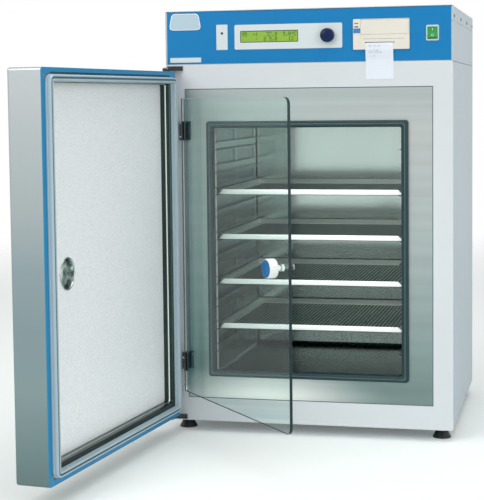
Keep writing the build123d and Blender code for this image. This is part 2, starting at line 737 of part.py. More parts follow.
def grip_spans(growth=0.0):
    """Width and height of the hand recess in the outside of the door."""
    right = DOOR_X[1] - GRIP_INSET + growth
    height = centred((DOOR_Z[0] + DOOR_Z[1]) / 2, GRIP_HEIGHT + 2 * growth)
    return (right - GRIP_WIDTH - 2 * growth, right), height


def door_shell():
    """Outer pan of the door: bent edges, a cut-out for the hand recess and two bush holes."""
    back = DOOR_INNER_FACE - RIM_SHEET
    pan = through(patch(DOOR_X, DOOR_Z), DOOR_OUTER_FACE, back)
    rounded = pan.edges().filter_by(Axis.Y) + pan.faces().sort_by(Axis.Y)[0].edges()
    pan = fillet(rounded, DOOR_BEND)
    inner = through(
        patch(grown(DOOR_X, -DOOR_SHEET), grown(DOOR_Z, -DOOR_SHEET)), DOOR_OUTER_FACE + DOOR_SHEET, back
    )
    rounded = inner.edges().filter_by(Axis.Y) + inner.faces().sort_by(Axis.Y)[0].edges()
    pan -= fillet(rounded, DOOR_BEND - DOOR_SHEET)
    pan -= through(patch(*grip_spans()), DOOR_OUTER_FACE, DOOR_OUTER_FACE + DOOR_SHEET)
    return pan - peg(*DOOR_PIN, BUSH_RADIUS + PRESS_GAP, *DOOR_Z)


def door_rim():
    """Coloured band round the inner edge of the door, with a leg nested inside the pan."""
    band = patch(DOOR_X, DOOR_Z, DOOR_BEND) - patch(grown(DOOR_X, -RIM_WIDTH), grown(DOOR_Z, -RIM_WIDTH))
    back = DOOR_INNER_FACE - RIM_SHEET
    nest = DOOR_SHEET + SEAM
    leg = patch(grown(DOOR_X, -nest), grown(DOOR_Z, -nest), DOOR_BEND - DOOR_SHEET) - patch(
        grown(DOOR_X, -nest - RIM_SHEET), grown(DOOR_Z, -nest - RIM_SHEET), DOOR_BEND - nest
    )
    return through(band, back, DOOR_INNER_FACE) + through(leg, back - RIM_LEG, back)


def seal_ring(width, y_front, y_back):
    """Square-cornered band of a given width, centred in the seal's track round the door."""
    middle = RIM_WIDTH + DOOR_SEAL_WIDTH / 2
    outer = patch(grown(DOOR_X, width / 2 - middle), grown(DOOR_Z, width / 2 - middle))
    inner = patch(grown(DOOR_X, -width / 2 - middle), grown(DOOR_Z, -width / 2 - middle))
    return through(outer - inner, y_front, y_back)


def door_seal():
    """Magnetic bellows seal: a foot, a narrow folding neck and a rounded head."""
    foot = DOOR_INNER_FACE + DOOR_SEAL_PROUD * 0.2
    neck = DOOR_INNER_FACE + DOOR_SEAL_PROUD * 0.45
    tip = DOOR_INNER_FACE + DOOR_SEAL_PROUD
    head = seal_ring(DOOR_SEAL_HEAD, neck, tip)
    head = fillet(head.faces().sort_by(Axis.Y)[-1].edges(), (tip - neck) / 3)
    return seal_ring(DOOR_SEAL_WIDTH, DOOR_INNER_FACE, foot) + seal_ring(DOOR_SEAL_NECK, foot, neck) + head


def door_liner():
    """Polished inner pan: flange under the seal, recess walls and a ledge under the panel."""
    flange_back = DOOR_INNER_FACE - LINER_SHEET
    ledge_front = PANEL_FACE - PANEL_SHEET - LINER_SHEET
    recess = patch(*recess_spans(), RECESS_CORNER)
    wall = patch(*recess_spans(LINER_SHEET), RECESS_CORNER + LINER_SHEET)
    edge = RIM_WIDTH + SEAM
    liner = through(patch(grown(DOOR_X, -edge), grown(DOOR_Z, -edge)) - recess, flange_back, DOOR_INNER_FACE)
    liner += through(wall - recess, ledge_front, DOOR_INNER_FACE)
    ledge = recess - patch(*recess_spans(-PANEL_LEDGE))
    return liner + through(ledge, ledge_front, ledge_front + LINER_SHEET)


def door_panel():
    """Hammered white panel at the bottom of the recess, holed for the knob cup."""
    panel = patch(*recess_spans(-SEAM), RECESS_CORNER) - Pos(cup_x(), LATCH_Z) * Circle(
        CUP_MOUTH_RADIUS + CUP_WALL + SEAM
    )
    return through(panel, PANEL_FACE - PANEL_SHEET, PANEL_FACE)


def cup_x():
    """Middle of the knob cup, set off from the latch by the swing of the knob."""
    return LATCH_X - CUP_OFFSET


def knob_cup():
    """Spun cup with a rolled rim that clears the latch knob when both doors are shut."""
    floor = -CUP_DEPTH
    rim_height = 1.6
    outline = [
        (0, floor - CUP_WALL),
        (CUP_MOUTH_RADIUS - 4, floor - CUP_WALL),
        (CUP_MOUTH_RADIUS + CUP_WALL, floor + 4),
        (CUP_MOUTH_RADIUS + CUP_WALL, 0),
        (CUP_RIM_RADIUS, 0),
        (CUP_RIM_RADIUS, rim_height * 0.6),
        (CUP_RIM_RADIUS - 1, rim_height),
        (CUP_MOUTH_RADIUS + 1, rim_height),
        (CUP_MOUTH_RADIUS, rim_height * 0.4),
        (CUP_MOUTH_RADIUS, floor + 4.5),
        (CUP_MOUTH_RADIUS - 4.5, floor),
        (0, floor),
    ]
    turned = turned_front(0, 0, [(radius, -height) for radius, height in outline])
    return Pos(cup_x(), PANEL_FACE, LATCH_Z) * turned


def door_insulation():
    """Foam that fills the door behind the panel and round the recess."""
    inside = DOOR_SHEET + FOAM_GAP
    x_span = grown(DOOR_X, -inside - RIM_SHEET)
    z_span = grown(DOOR_Z, -inside - RIM_SHEET)
    behind_panel = PANEL_FACE - PANEL_SHEET - LINER_SHEET - FOAM_GAP
    foam = through(patch(x_span, z_span, DOOR_BEND), DOOR_OUTER_FACE + inside, behind_panel)
    well = patch(*recess_spans(LINER_SHEET + FOAM_GAP), RECESS_CORNER)
    collar = DOOR_INNER_FACE - RIM_SHEET - FOAM_GAP
    foam += through(patch(x_span, z_span, DOOR_BEND) - well, behind_panel, collar)
    cup = CUP_MOUTH_RADIUS + CUP_WALL + FOAM_GAP
    foam -= rod(cup_x(), LATCH_Z, cup, PANEL_FACE - CUP_DEPTH - CUP_WALL - FOAM_GAP, behind_panel)
    grip_back = DOOR_OUTER_FACE + GRIP_DEPTH + GRIP_WALL + FOAM_GAP
    foam -= through(patch(*grip_spans(FOAM_GAP)), DOOR_OUTER_FACE, grip_back)
    for z in (DOOR_Z[0], DOOR_Z[1] - bush_depth()):
        foam -= peg(*DOOR_PIN, BUSH_RADIUS + FOAM_GAP, z, z + bush_depth() + FOAM_GAP)
    return foam


def door_grip():
    """Moulded hand recess in the outside of the door, with a thin flange on the sheet."""
    pocket = through(patch(*grip_spans(-SEAM)), DOOR_OUTER_FACE, DOOR_OUTER_FACE + GRIP_DEPTH + GRIP_WALL)
    flange = through(
        patch(*grip_spans(GRIP_FLANGE), GRIP_FLANGE), DOOR_OUTER_FACE - GRIP_PROUD, DOOR_OUTER_FACE
    )
    grip = pocket + chamfer(flange.faces().sort_by(Axis.Y)[0].edges(), GRIP_PROUD / 2)
    hollow = through(
        patch(*grip_spans(-SEAM - GRIP_WALL), GRIP_WALL),
        DOOR_OUTER_FACE - GRIP_PROUD,
        DOOR_OUTER_FACE + GRIP_DEPTH,
    )
    return grip - hollow


def bush_depth():
    """Depth to which each hinge bush sits in the door."""
    return DOOR_PIN_REACH + GRIP_WALL


def door_bushes():
    """Flanged plastic bushes in the bottom and the top of the door."""
    bore = DOOR_PIN_RADIUS + RUNNING_GAP
    outline = [
        (bore, -BUSH_FLANGE),
        (BUSH_FLANGE_RADIUS, -BUSH_FLANGE),
        (BUSH_FLANGE_RADIUS, 0),
        (BUSH_RADIUS, 0),
        (BUSH_RADIUS, bush_depth()),
        (bore, bush_depth()),
    ]
    return [
        turned_up(*DOOR_PIN, [(radius, DOOR_Z[0] + height) for radius, height in outline]),
        turned_up(*DOOR_PIN, [(radius, DOOR_Z[1] - height) for radius, height in outline]),
    ]


def bracket_outline():
    """Plan of a hinge bracket: a nose round the pin that runs back to the cabinet front."""
    nose = Pos(*DOOR_PIN) * Circle(BRACKET_NOSE)
    right = BRACKET_LEFT + BRACKET_WIDTH
    web = [
        (DOOR_PIN[0] - BRACKET_NOSE, DOOR_PIN[1]),
        (DOOR_PIN[0] + BRACKET_NOSE, DOOR_PIN[1]),
        (right, -BRACKET_FLANGE),
        (right, 0),
        (BRACKET_LEFT, 0),
    ]
    hole = Pos(*DOOR_PIN) * Circle(DOOR_PIN_RADIUS + PRESS_GAP)
    return nose + make_face(Polyline(*web, close=True)) - hole


def hinge_brackets():
    """Steel brackets above and below the outer door."""
    low = DOOR_Z[0] - BUSH_FLANGE - SEAM
    high = DOOR_Z[1] + BUSH_FLANGE + SEAM
    flange = (BRACKET_LEFT, BRACKET_LEFT + BRACKET_WIDTH)
    lower = upward(bracket_outline(), low - BRACKET_SHEET, low)
    lower += through(patch(flange, (low - BRACKET_FLANGE_HEIGHT, low)), -BRACKET_FLANGE, 0)
    upper = upward(bracket_outline(), high, high + BRACKET_SHEET)
    upper += through(patch(flange, (high, high + BRACKET_FLANGE_HEIGHT)), -BRACKET_FLANGE, 0)
    return [lower, upper]


def hinge_pins():
    """Headed pins of the outer door and plain pins of the glass door."""
    low = DOOR_Z[0] - BUSH_FLANGE - SEAM - BRACKET_SHEET
    high = DOOR_Z[1] + BUSH_FLANGE + SEAM + BRACKET_SHEET
    reach = BRACKET_SHEET + BUSH_FLANGE + SEAM + DOOR_PIN_REACH
    pin = [
        (0, -PIN_HEAD),
        (PIN_HEAD_RADIUS, -PIN_HEAD),
        (PIN_HEAD_RADIUS, 0),
        (DOOR_PIN_RADIUS, 0),
        (DOOR_PIN_RADIUS, reach - 1),
        (DOOR_PIN_RADIUS - 1, reach),
        (0, reach),
    ]
    pins = [
        turned_up(*DOOR_PIN, [(radius, low + height) for radius, height in pin]),
        turned_up(*DOOR_PIN, [(radius, high - height) for radius, height in pin]),
    ]
    for span in clamp_spans():
        pins.append(peg(*GLASS_PIN, GLASS_PIN_RADIUS, *span))
    return pins


def clamp_spans():
    """Heights of the lower and the upper hinge of the glass door."""
    return [
        started(GLASS_Z[0] + LOWER_CLAMP_RISE, CLAMP_HEIGHT),
        (GLASS_Z[1] - UPPER_CLAMP_DROP - CLAMP_HEIGHT, GLASS_Z[1] - UPPER_CLAMP_DROP),
    ]


def knuckle_span(span):
    """Middle stretch of a hinge that belongs to the moving half."""
    return centred((span[0] + span[1]) / 2, KNUCKLE_SHARE * CLAMP_HEIGHT)


def glass_hinge_plates():
    """Fixed halves of the glass door's hinges: a leaf on the frame with two knuckles."""
    plates = []
    left = GLASS_PIN[0] - KNUCKLE_RADIUS
    knuckle = Pos(*GLASS_PIN) * Circle(KNUCKLE_RADIUS) + patch(
        (left, GLASS_PIN[0] + KNUCKLE_RADIUS), (GLASS_PIN[1], -HINGE_LEAF)
    )
    knuckle -= Pos(*GLASS_PIN) * Circle(GLASS_PIN_RADIUS + PRESS_GAP)
    for span in clamp_spans():
        middle = knuckle_span(span)
        plate = through(patch(started(left, HINGE_LEAF_WIDTH), span), -HINGE_LEAF, 0)
        plate += upward(knuckle, span[0], middle[0] - KNUCKLE_GAP)
        plate += upward(knuckle, middle[1] + KNUCKLE_GAP, span[1])
        plates.append(plate)
    return plates


def glass_clamps():
    """Moving halves of the hinges: a channel that grips the glass and one knuckle."""
    clamps = []
    web_right = GLASS_X[0] - SEAM
    web_left = web_right - CLAMP_WEB
    reach = GLASS_X[0] + CLAMP_REACH
    grip = patch((web_left, reach), (GLASS_Y[0] - CLAMP_SHEET, GLASS_Y[1] + CLAMP_INNER_SHEET))
    grip -= patch((web_right, reach), GLASS_Y)
    knuckle = Pos(*GLASS_PIN) * Circle(KNUCKLE_RADIUS) + patch(
        (GLASS_PIN[0], web_left), (GLASS_PIN[1] - KNUCKLE_RADIUS, GLASS_PIN[1] - RUNNING_GAP)
    )
    knuckle -= Pos(*GLASS_PIN) * Circle(GLASS_PIN_RADIUS + RUNNING_GAP)
    for span in clamp_spans():
        block = upward(grip, *span)
        nose = block.edges().filter_by(Axis.Z).sort_by(lambda edge: edge.center().X + edge.center().Y)[0]
        clamps.append(fillet(nose, CLAMP_ROUND) + upward(knuckle, *knuckle_span(span)))
    return clamps


def glass_pane():
    """Toughened pane with rounded free corners, an eased edge and a hole for the latch."""
    pane = through(patch(GLASS_X, GLASS_Z), *GLASS_Y)
    free = pane.edges().filter_by(Axis.Y).group_by(Axis.X)[-1]
    pane = fillet(free, GLASS_CORNER)
    return pane - rod(LATCH_X, LATCH_Z, LATCH_BUSH_RADIUS + PRESS_GAP, *GLASS_Y)


def latch_bush():
    """Threaded bush through the glass, with a washer outside and a nut inside."""
    bore = SPINDLE_RADIUS + RUNNING_GAP
    outer = -GLASS_Y[0]
    inner = -GLASS_Y[1]
    outline = [
        (bore, outer + LATCH_WASHER),
        (LATCH_WASHER_RADIUS - 1, outer + LATCH_WASHER),
        (LATCH_WASHER_RADIUS, outer + LATCH_WASHER - 1),
        (LATCH_WASHER_RADIUS, outer),
        (LATCH_BUSH_RADIUS, outer),
        (LATCH_BUSH_RADIUS, inner),
        (LATCH_NUT_RADIUS, inner),
        (LATCH_NUT_RADIUS, inner - LATCH_NUT),
        (bore, inner - LATCH_NUT),
    ]
    return turned_front(LATCH_X, LATCH_Z, outline)


def latch_knob():
    """Turning knob outside the glass, hollow at the back and seated for its cap."""
    back = -GLASS_Y[0] + KNOB_STANDOFF
    front = back + KNOB_LENGTH
    outline = [
        (SPINDLE_RADIUS + PRESS_GAP, back),
        (KNOB_RADIUS - 0.8, back),
        (KNOB_RADIUS, back + 0.8),
        (KNOB_RADIUS, front - 1.2),
        (KNOB_RADIUS - 1.2, front),
        (KNOB_CAP_RADIUS + PRESS_GAP, front),
        (KNOB_CAP_RADIUS + PRESS_GAP, front - KNOB_CAP_SEAT),
        (0, front - KNOB_CAP_SEAT),
        (0, back + SPINDLE_SEAT_DEPTH),
        (SPINDLE_RADIUS + PRESS_GAP, back + SPINDLE_SEAT_DEPTH),
    ]
    return turned_front(LATCH_X, LATCH_Z, outline)


def latch_cap():
    """Coloured cap let into the face of the knob."""
    seat = -GLASS_Y[0] + KNOB_STANDOFF + KNOB_LENGTH - KNOB_CAP_SEAT
    outline = [
        (0, seat),
        (KNOB_CAP_RADIUS, seat),
        (KNOB_CAP_RADIUS, seat + KNOB_CAP - 0.6),
        (KNOB_CAP_RADIUS - 0.6, seat + KNOB_CAP),
        (0, seat + KNOB_CAP),
    ]
    return turned_front(LATCH_X, LATCH_Z, outline)


def latch_spindle():
    """Spindle through the glass with a tongue that turns into the chamber wall."""
    front = GLASS_Y[0] - KNOB_STANDOFF - SPINDLE_SEAT_DEPTH
    back = TONGUE_DEPTH + TONGUE_SHEET + 1
    spindle = rod(LATCH_X, LATCH_Z, SPINDLE_RADIUS, front, back)
    tongue = Pos(LATCH_X, LATCH_Z) * Circle(TONGUE_WIDTH / 2 + 1)
    tongue += patch((LATCH_X - TONGUE_LENGTH + 2, LATCH_X), centred(LATCH_Z, TONGUE_WIDTH))
    tongue += patch((LATCH_X - TONGUE_LENGTH, LATCH_X), centred(LATCH_Z, TONGUE_WIDTH - 4))
    return spindle + through(tongue, TONGUE_DEPTH, TONGUE_DEPTH + TONGUE_SHEET)


def frame_bumper():
    """Small white cone on the frame beside the lower corner of the glass."""
    outline = [
        (0, 0),
        (BUMPER_RADIUS, 0),
        (BUMPER_TIP_RADIUS, BUMPER_LENGTH - 1),
        (BUMPER_TIP_RADIUS - 1, BUMPER_LENGTH),
        (0, BUMPER_LENGTH),
    ]
    return turned_front(MOUTH_X[0] - SEAL_BAND - BUMPER_INSET, MOUTH_Z[0] - SEAL_BAND - BUMPER_DROP, outline)


def control_chassis():
    """Tray of the control box: a deck, two sides and the set-in strips that carry the lid."""
    split = CABINET_HEIGHT - LID_FLANGE - LID_SEAM
    outside = patch((0, CABINET_WIDTH), (BODY_TOP, split))
    inside = patch(grown((0, CABINET_WIDTH), -CASING_SHEET), (DECK_TOP, split))
    tray = through(outside - inside, 0, CABINET_DEPTH - CASING_SHEET)
    joggle = CASING_SHEET + SEAM
    strip_z = centred(split, JOGGLE_HEIGHT)
    for x in (joggle, CABINET_WIDTH - joggle - CASING_SHEET):
        strip = through(patch(started(x, CASING_SHEET), strip_z), TRIM, CABINET_DEPTH - 2 * TRIM)
        weld = CASING_SHEET if x < CENTRE_X else -CASING_SHEET
        tack = through(
            patch(started(x - weld / 2, CASING_SHEET), (strip_z[0], split - LID_SEAM)),
            TRIM,
            CABINET_DEPTH - 2 * TRIM,
        )
        tray += strip + tack
    for x in (0, CABINET_WIDTH - TRIM):
        tray += through(patch(started(x, TRIM), (BODY_TOP, split)), 0, CASING_SHEET)
    return tray


def top_lid():
    """Lid of the control box, folded down over both sides with a trim edge at the front."""
    bottom = CABINET_HEIGHT - LID_FLANGE
    outside = patch((0, CABINET_WIDTH), (bottom - CASING_BEND, CABINET_HEIGHT), CASING_BEND)
    inside = patch(
        grown((0, CABINET_WIDTH), -CASING_SHEET),
        (bottom - CASING_BEND, CABINET_HEIGHT - CASING_SHEET),
        CASING_BEND - CASING_SHEET,
    )
    keep = patch((0, CABINET_WIDTH), (bottom, CABINET_HEIGHT))
    lid = through((outside - inside) & keep, 0, CABINET_DEPTH - CASING_SHEET)
    for x in (0, CABINET_WIDTH - TRIM):
        trim = patch(started(x, TRIM), (bottom, CABINET_HEIGHT - CASING_BEND))
        lid += through(trim, 0, CASING_SHEET)
    return lid


def fascia_x():
    """Width of the coloured fascia between the trim edges."""
    return (TRIM + SEAM, CABINET_WIDTH - TRIM - SEAM)


def panel_spans():
    """Widths taken by the badge, lamp plate, display, printer and switch, from left to right.

    The gaps between them share whatever the five units leave of the fascia, in fixed proportion.
    """
    units = (BADGE_WIDTH, LAMP_PLATE_WIDTH, DISPLAY_WIDTH, PRINTER_WIDTH, SWITCH_WIDTH)
    gaps = (BADGE_MARGIN, LAMP_PLATE_GAP, DISPLAY_GAP, PRINTER_GAP, SWITCH_GAP)
    left, right = fascia_x()
    share = (right - left - sum(units)) / (sum(gaps) + SWITCH_MARGIN)
    spans = []
    for gap, width in zip(gaps, units):
        spans.append(started(left + gap * share, width))
        left = spans[-1][1]
    return spans


def printer_spans():
    """Width and height of the printer's front."""
    return panel_spans()[3], started(BODY_TOP + PRINTER_RISE, PRINTER_HEIGHT)


def switch_spans():
    """Width and height of the switch bezel."""
    return panel_spans()[4], started(BODY_TOP + SWITCH_RISE, SWITCH_HEIGHT)


def display_spans():
    """Width and height of the display plate."""
    return panel_spans()[2], started(BODY_TOP + DISPLAY_RISE, DISPLAY_HEIGHT)


def screen_spans():
    """Width and height of the visible screen."""
    x_span, z_span = display_spans()
    return started(x_span[0] + SCREEN_INSET, SCREEN_WIDTH), started(z_span[0] + SCREEN_RISE, SCREEN_HEIGHT)


def encoder_place():
    """Middle of the encoder knob on the display plate."""
    x_span, z_span = display_spans()
    return x_span[1] - ENCODER_INSET, z_span[0] + ENCODER_RISE


def lamp_spans():
    """Width and height of the plate round the status lamp."""
    return panel_spans()[1], started(display_spans()[1][0], LAMP_PLATE_HEIGHT)


def lamp_place():
    """Middle of the status lamp."""
    x_span, z_span = lamp_spans()
    return (x_span[0] + x_span[1]) / 2, z_span[0] + LAMP_RISE


def bezel_hole(spans, wall=0.0):
    """Outline of a built-in unit's body where it passes through the fascia."""
    return patch(grown(spans[0], -PRINTER_WALL + wall), grown(spans[1], -PRINTER_WALL + wall))


def fascia():
    """Coloured front of the control box with folded edges and its cut-outs."""
    plate = patch(fascia_x(), FASCIA_Z)
    plate -= patch(*screen_spans())
    plate -= Pos(*encoder_place()) * Circle(ENCODER_BUSH_RADIUS)
    plate -= Pos(*lamp_place()) * Circle(LAMP_RADIUS + SEAM)
    plate -= bezel_hole(printer_spans(), SEAM)
    plate -= bezel_hole(switch_spans(), SEAM)
    front = through(plate, 0, FASCIA_SHEET)
    fold = patch(fascia_x(), FASCIA_Z) - patch(
        grown(fascia_x(), -FASCIA_SHEET), grown(FASCIA_Z, -FASCIA_SHEET)
    )
    return front + through(fold, 0, FASCIA_RETURN)


def badge_outline():
    """Bare badge, wider below than above, with generous corners."""
    low = CABINET_HEIGHT - BADGE_DROP - BADGE_HEIGHT
    left, right = panel_spans()[0]
    corners = [
        (left, low),
        (right, low),
        (right - BADGE_TAPER, low + BADGE_HEIGHT),
        (left + BADGE_TAPER, low + BADGE_HEIGHT),
    ]
    shape = make_face(Polyline(*corners, close=True))
    return fillet(shape.vertices(), BADGE_CORNER)


def control_plates():
    """Pale plates on the fascia: display, status lamp, bare badge and bare label strip."""
    display = patch(*display_spans(), DISPLAY_CORNER) - patch(*screen_spans())
    display -= Pos(*encoder_place()) * Circle(ENCODER_BUSH_RADIUS)
    lamp = patch(*lamp_spans(), 1) - Pos(*lamp_place()) * Circle(LAMP_RADIUS + SEAM)
    strip_left = panel_spans()[0][0] + STRIP_INSET
    strip = patch(started(strip_left, STRIP_WIDTH), started(BODY_TOP + STRIP_RISE, STRIP_HEIGHT), 1)
    return [through(shape, -PLATE_SHEET, 0) for shape in (display, lamp, strip, badge_outline())]


def screen_module():
    """Liquid crystal module: raised glass in the window, frame and board behind the fascia."""
    glass = patch(grown(screen_spans()[0], -SEAM), grown(screen_spans()[1], -SEAM))
    frame = patch(grown(screen_spans()[0], SCREEN_BORDER), grown(screen_spans()[1], SCREEN_BORDER))
    module = through(glass, 0, FASCIA_SHEET) + through(frame, FASCIA_SHEET, SCREEN_MODULE_DEPTH - 2)
    board = patch(grown(screen_spans()[0], SCREEN_BORDER + 2), grown(screen_spans()[1], SCREEN_BORDER + 2))
    return module + through(board, SCREEN_MODULE_DEPTH - 2, SCREEN_MODULE_DEPTH)


def status_lamp():
    """Domed light in its hole in the lamp plate."""
    outline = [
        (0, -8),
        (LAMP_RADIUS + 1, -8),
        (LAMP_RADIUS + 1, -FASCIA_SHEET),
        (LAMP_RADIUS, -FASCIA_SHEET),
        (LAMP_RADIUS, 0.8),
        (LAMP_RADIUS * 0.75, 2.0),
        (LAMP_RADIUS * 0.4, 2.7),
        (0, 2.9),
    ]
    return turned_front(*lamp_place(), outline)


def encoder_knob():
    """Fluted knob on its shaft."""
    back = PLATE_SHEET + SEAM
    front = back + ENCODER_LENGTH
    x, z = encoder_place()
    outline = [
        (0, -ENCODER_LENGTH),
        (ENCODER_SHAFT_RADIUS, -ENCODER_LENGTH),
        (ENCODER_SHAFT_RADIUS, back + 6),
        (ENCODER_RADIUS - 3, back + 6),
        (ENCODER_RADIUS - 3, back),
        (ENCODER_RADIUS, back),
        (ENCODER_RADIUS, back + 2),
        (ENCODER_RADIUS - 0.8, front - 1.5),
        (ENCODER_RADIUS - 2.2, front),
        (0, front - 0.4),
    ]
    knob = turned_front(x, z, outline)
    grips = PolarLocations(ENCODER_RADIUS + 0.35, ENCODER_GRIPS)
    cuts = Sketch() + [Pos(x, z) * place * Circle(0.9) for place in grips]
    return knob - through(cuts, -front, -back - 2)


def encoder_body():
    """Rotary encoder behind the fascia with its threaded bush."""
    x, z = encoder_place()
    bush = Pos(x, z) * (Circle(ENCODER_BUSH_RADIUS - SEAM) - Circle(ENCODER_SHAFT_RADIUS + RUNNING_GAP))
    case = patch(centred(x, 14), centred(z, 14), 1) - Pos(x, z) * Circle(
        ENCODER_SHAFT_RADIUS + RUNNING_GAP
    )
    board = patch(centred(x, 20), centred(z, 30))
    depth = ENCODER_LENGTH + 1
    body = through(bush, -PLATE_SHEET, FASCIA_SHEET) + through(case, FASCIA_SHEET, depth)
    return body + through(board, depth, depth + BOARD_SHEET)


def cover_spans():
    """Width and height of the hinged printer cover."""
    x_span, z_span = printer_spans()
    side = PRINTER_WALL / 2
    return (x_span[0] + PRINTER_COLUMN, x_span[1] - side), (z_span[0] + COVER_SPLIT, z_span[1] - side)


def cover_pin():
    """Depth and height of the line that the printer cover turns about."""
    radius = COVER_SHEET / 2
    return -PRINTER_PROUD + radius, cover_spans()[1][1] - radius


def feed_spans(growth=0.0):
    """Width and height of the paper feed button."""
    x_span, z_span = printer_spans()
    left = x_span[0] + PRINTER_WALL / 2
    width = started(left, FEED_BUTTON_WIDTH)
    return grown(width, growth), grown(started(z_span[0] + FEED_BUTTON_RISE, FEED_BUTTON_HEIGHT), growth)


def printer_housing():
    """Printer case: raised front frame, paper slot, button hole and a well for the roll."""
    x_span, z_span = printer_spans()
    front = through(patch(x_span, z_span, PRINTER_CORNER), -PRINTER_PROUD, 0)
    front = chamfer(front.faces().sort_by(Axis.Y)[0].edges(), 0.8)
    case = front + through(bezel_hole((x_span, z_span)), 0, PRINTER_DEPTH)
    cover_x, cover_z = cover_spans()
    opening = patch(grown(cover_x, COVER_GAP), (cover_z[0] - COVER_GAP, cover_z[1] + COVER_GAP))
    case -= through(opening, -PRINTER_PROUD, -PRINTER_PROUD + COVER_SHEET + COVER_GAP)
    well_x = (cover_x[0], x_span[1] - 2 * PRINTER_WALL)
    well_z = (z_span[0] + 2 * PRINTER_WALL, z_span[1] - 2 * PRINTER_WALL)
    case -= through(patch(well_x, well_z), PRINTER_WALL, PRINTER_DEPTH - PRINTER_WALL)
    case -= through(patch(well_x, (cover_z[0], well_z[1])), -PRINTER_PROUD, PRINTER_WALL)
    slot = patch(paper_x(1.0), centred(slot_height(), PAPER_SLOT_HEIGHT))
    case -= through(slot, -PRINTER_PROUD, PRINTER_WALL)
    case -= through(patch(*feed_spans(COVER_GAP)), -PRINTER_PROUD, PRINTER_WALL)
    stem = patch(feed_stem(COVER_GAP), feed_spans(COVER_GAP - 2)[1])
    case -= through(stem, 0, FEED_STEM + FEED_TRAVEL + SEAM)
    pin_y, pin_z = cover_pin()
    hole = Pos(pin_y, pin_z) * Circle(COVER_PIN_RADIUS + RUNNING_GAP)
    reach = COVER_GAP + 2
    case -= across(hole, cover_x[0] - reach, cover_x[0])
    case -= across(hole, cover_x[1], cover_x[1] + reach - PRINTER_WALL / 2)
    return case


def slot_height():
    """Height of the paper slot."""
    return printer_spans()[1][0] + PAPER_SLOT_RISE


def paper_x(growth=0.0):
    """Width of the paper."""
    return grown(started(printer_spans()[0][0] + PAPER_LEFT, PAPER_WIDTH), growth)


def feed_stem(growth=0.0):
    """Width of the stem behind the feed button."""
    return grown(grown(feed_spans()[0], -3.5), growth)


def printer_cover():
    """Upper part of the printer front, rounded about its hinge line, with two hinge stubs."""
    cover_x, cover_z = cover_spans()
    pin_y, pin_z = cover_pin()
    radius = COVER_SHEET / 2
    profile = patch((pin_y - radius, pin_y + radius), (cover_z[0], pin_z))
    profile += Pos(pin_y, pin_z) * Circle(radius)
    cover = across(profile, *cover_x)
    stub = Pos(pin_y, pin_z) * Circle(COVER_PIN_RADIUS)
    reach = COVER_GAP + 1
    cover += across(stub, cover_x[0] - reach, cover_x[0])
    cover += across(stub, cover_x[1], cover_x[1] + reach - PRINTER_WALL / 4)
    return cover


def feed_button():
    """Paper feed button with its stem."""
    x_span, z_span = feed_spans()
    face = -PRINTER_PROUD - FEED_BUTTON_PROUD
    cap = through(patch(x_span, z_span, 0.6), face, -FEED_TRAVEL - SEAM)
    cap = chamfer(cap.faces().sort_by(Axis.Y)[0].edges(), 0.4)
    stem = patch(feed_stem(), grown(z_span, -2))
    return cap + through(stem, -FEED_TRAVEL - SEAM, FEED_STEM)


def printer_paper():
    """Paper roll in its well, with the strip that leaves the slot and hangs down the front."""
    x_span = paper_x()
    z_slot = slot_height()
    roll_y = PRINTER_WALL + PAPER_ROLL_RADIUS + 8
    roll_z = z_slot + PAPER_ROLL_RADIUS + 2
    ring = Pos(roll_y, roll_z) * (Circle(PAPER_ROLL_RADIUS) - Circle(PAPER_CORE_RADIUS))
    roll = across(ring, *x_span)
    front = -PRINTER_PROUD
    lower = printer_spans()[1][0]
    half = PAPER_THICKNESS / 2
    rest = BODY_TOP - PAPER_HANG
    route = Polyline(
        (roll_y, roll_z - PAPER_ROLL_RADIUS - half),
        (PRINTER_WALL, z_slot),
        (front, z_slot),
        (front - 4 * half, z_slot - 1.5),
        (front - 4 * half, lower - 4),
        (-half - 0.05, BODY_TOP - 10),
        (-half - 0.05, rest),
    )
    strip = across(trace(route, PAPER_THICKNESS), *x_span)
    return roll + strip


def switch_bezel():
    """Switch surround with a well in which the rocker tips, and its body behind the fascia."""
    x_span, z_span = switch_spans()
    front = through(patch(x_span, z_span, SWITCH_CORNER), -SWITCH_PROUD, 0)
    front = chamfer(front.faces().sort_by(Axis.Y)[0].edges(), 0.8)
    body = front + through(bezel_hole((x_span, z_span)), 0, SWITCH_BODY_DEPTH)
    well = patch(*rocker_spans(ROCKER_GAP))
    body -= through(well, -SWITCH_PROUD, rocker_pivot()[0] + ROCKER_WIDTH / 2)
    pivot = Pos(*rocker_pivot()) * Circle(1.5 + RUNNING_GAP)
    width = rocker_spans(ROCKER_GAP + 1.2)[0]
    return body - across(pivot, *width)


def rocker_spans(growth=0.0):
    """Width and height of the rocker."""
    x_span, z_span = switch_spans()
    middle_x = (x_span[0] + x_span[1]) / 2
    middle_z = (z_span[0] + z_span[1]) / 2
    return centred(middle_x, ROCKER_WIDTH + 2 * growth), centred(middle_z, ROCKER_HEIGHT + 2 * growth)


def rocker_pivot():
    """Depth and height of the rocker's pivot."""
    return 4.0, (switch_spans()[1][0] + switch_spans()[1][1]) / 2


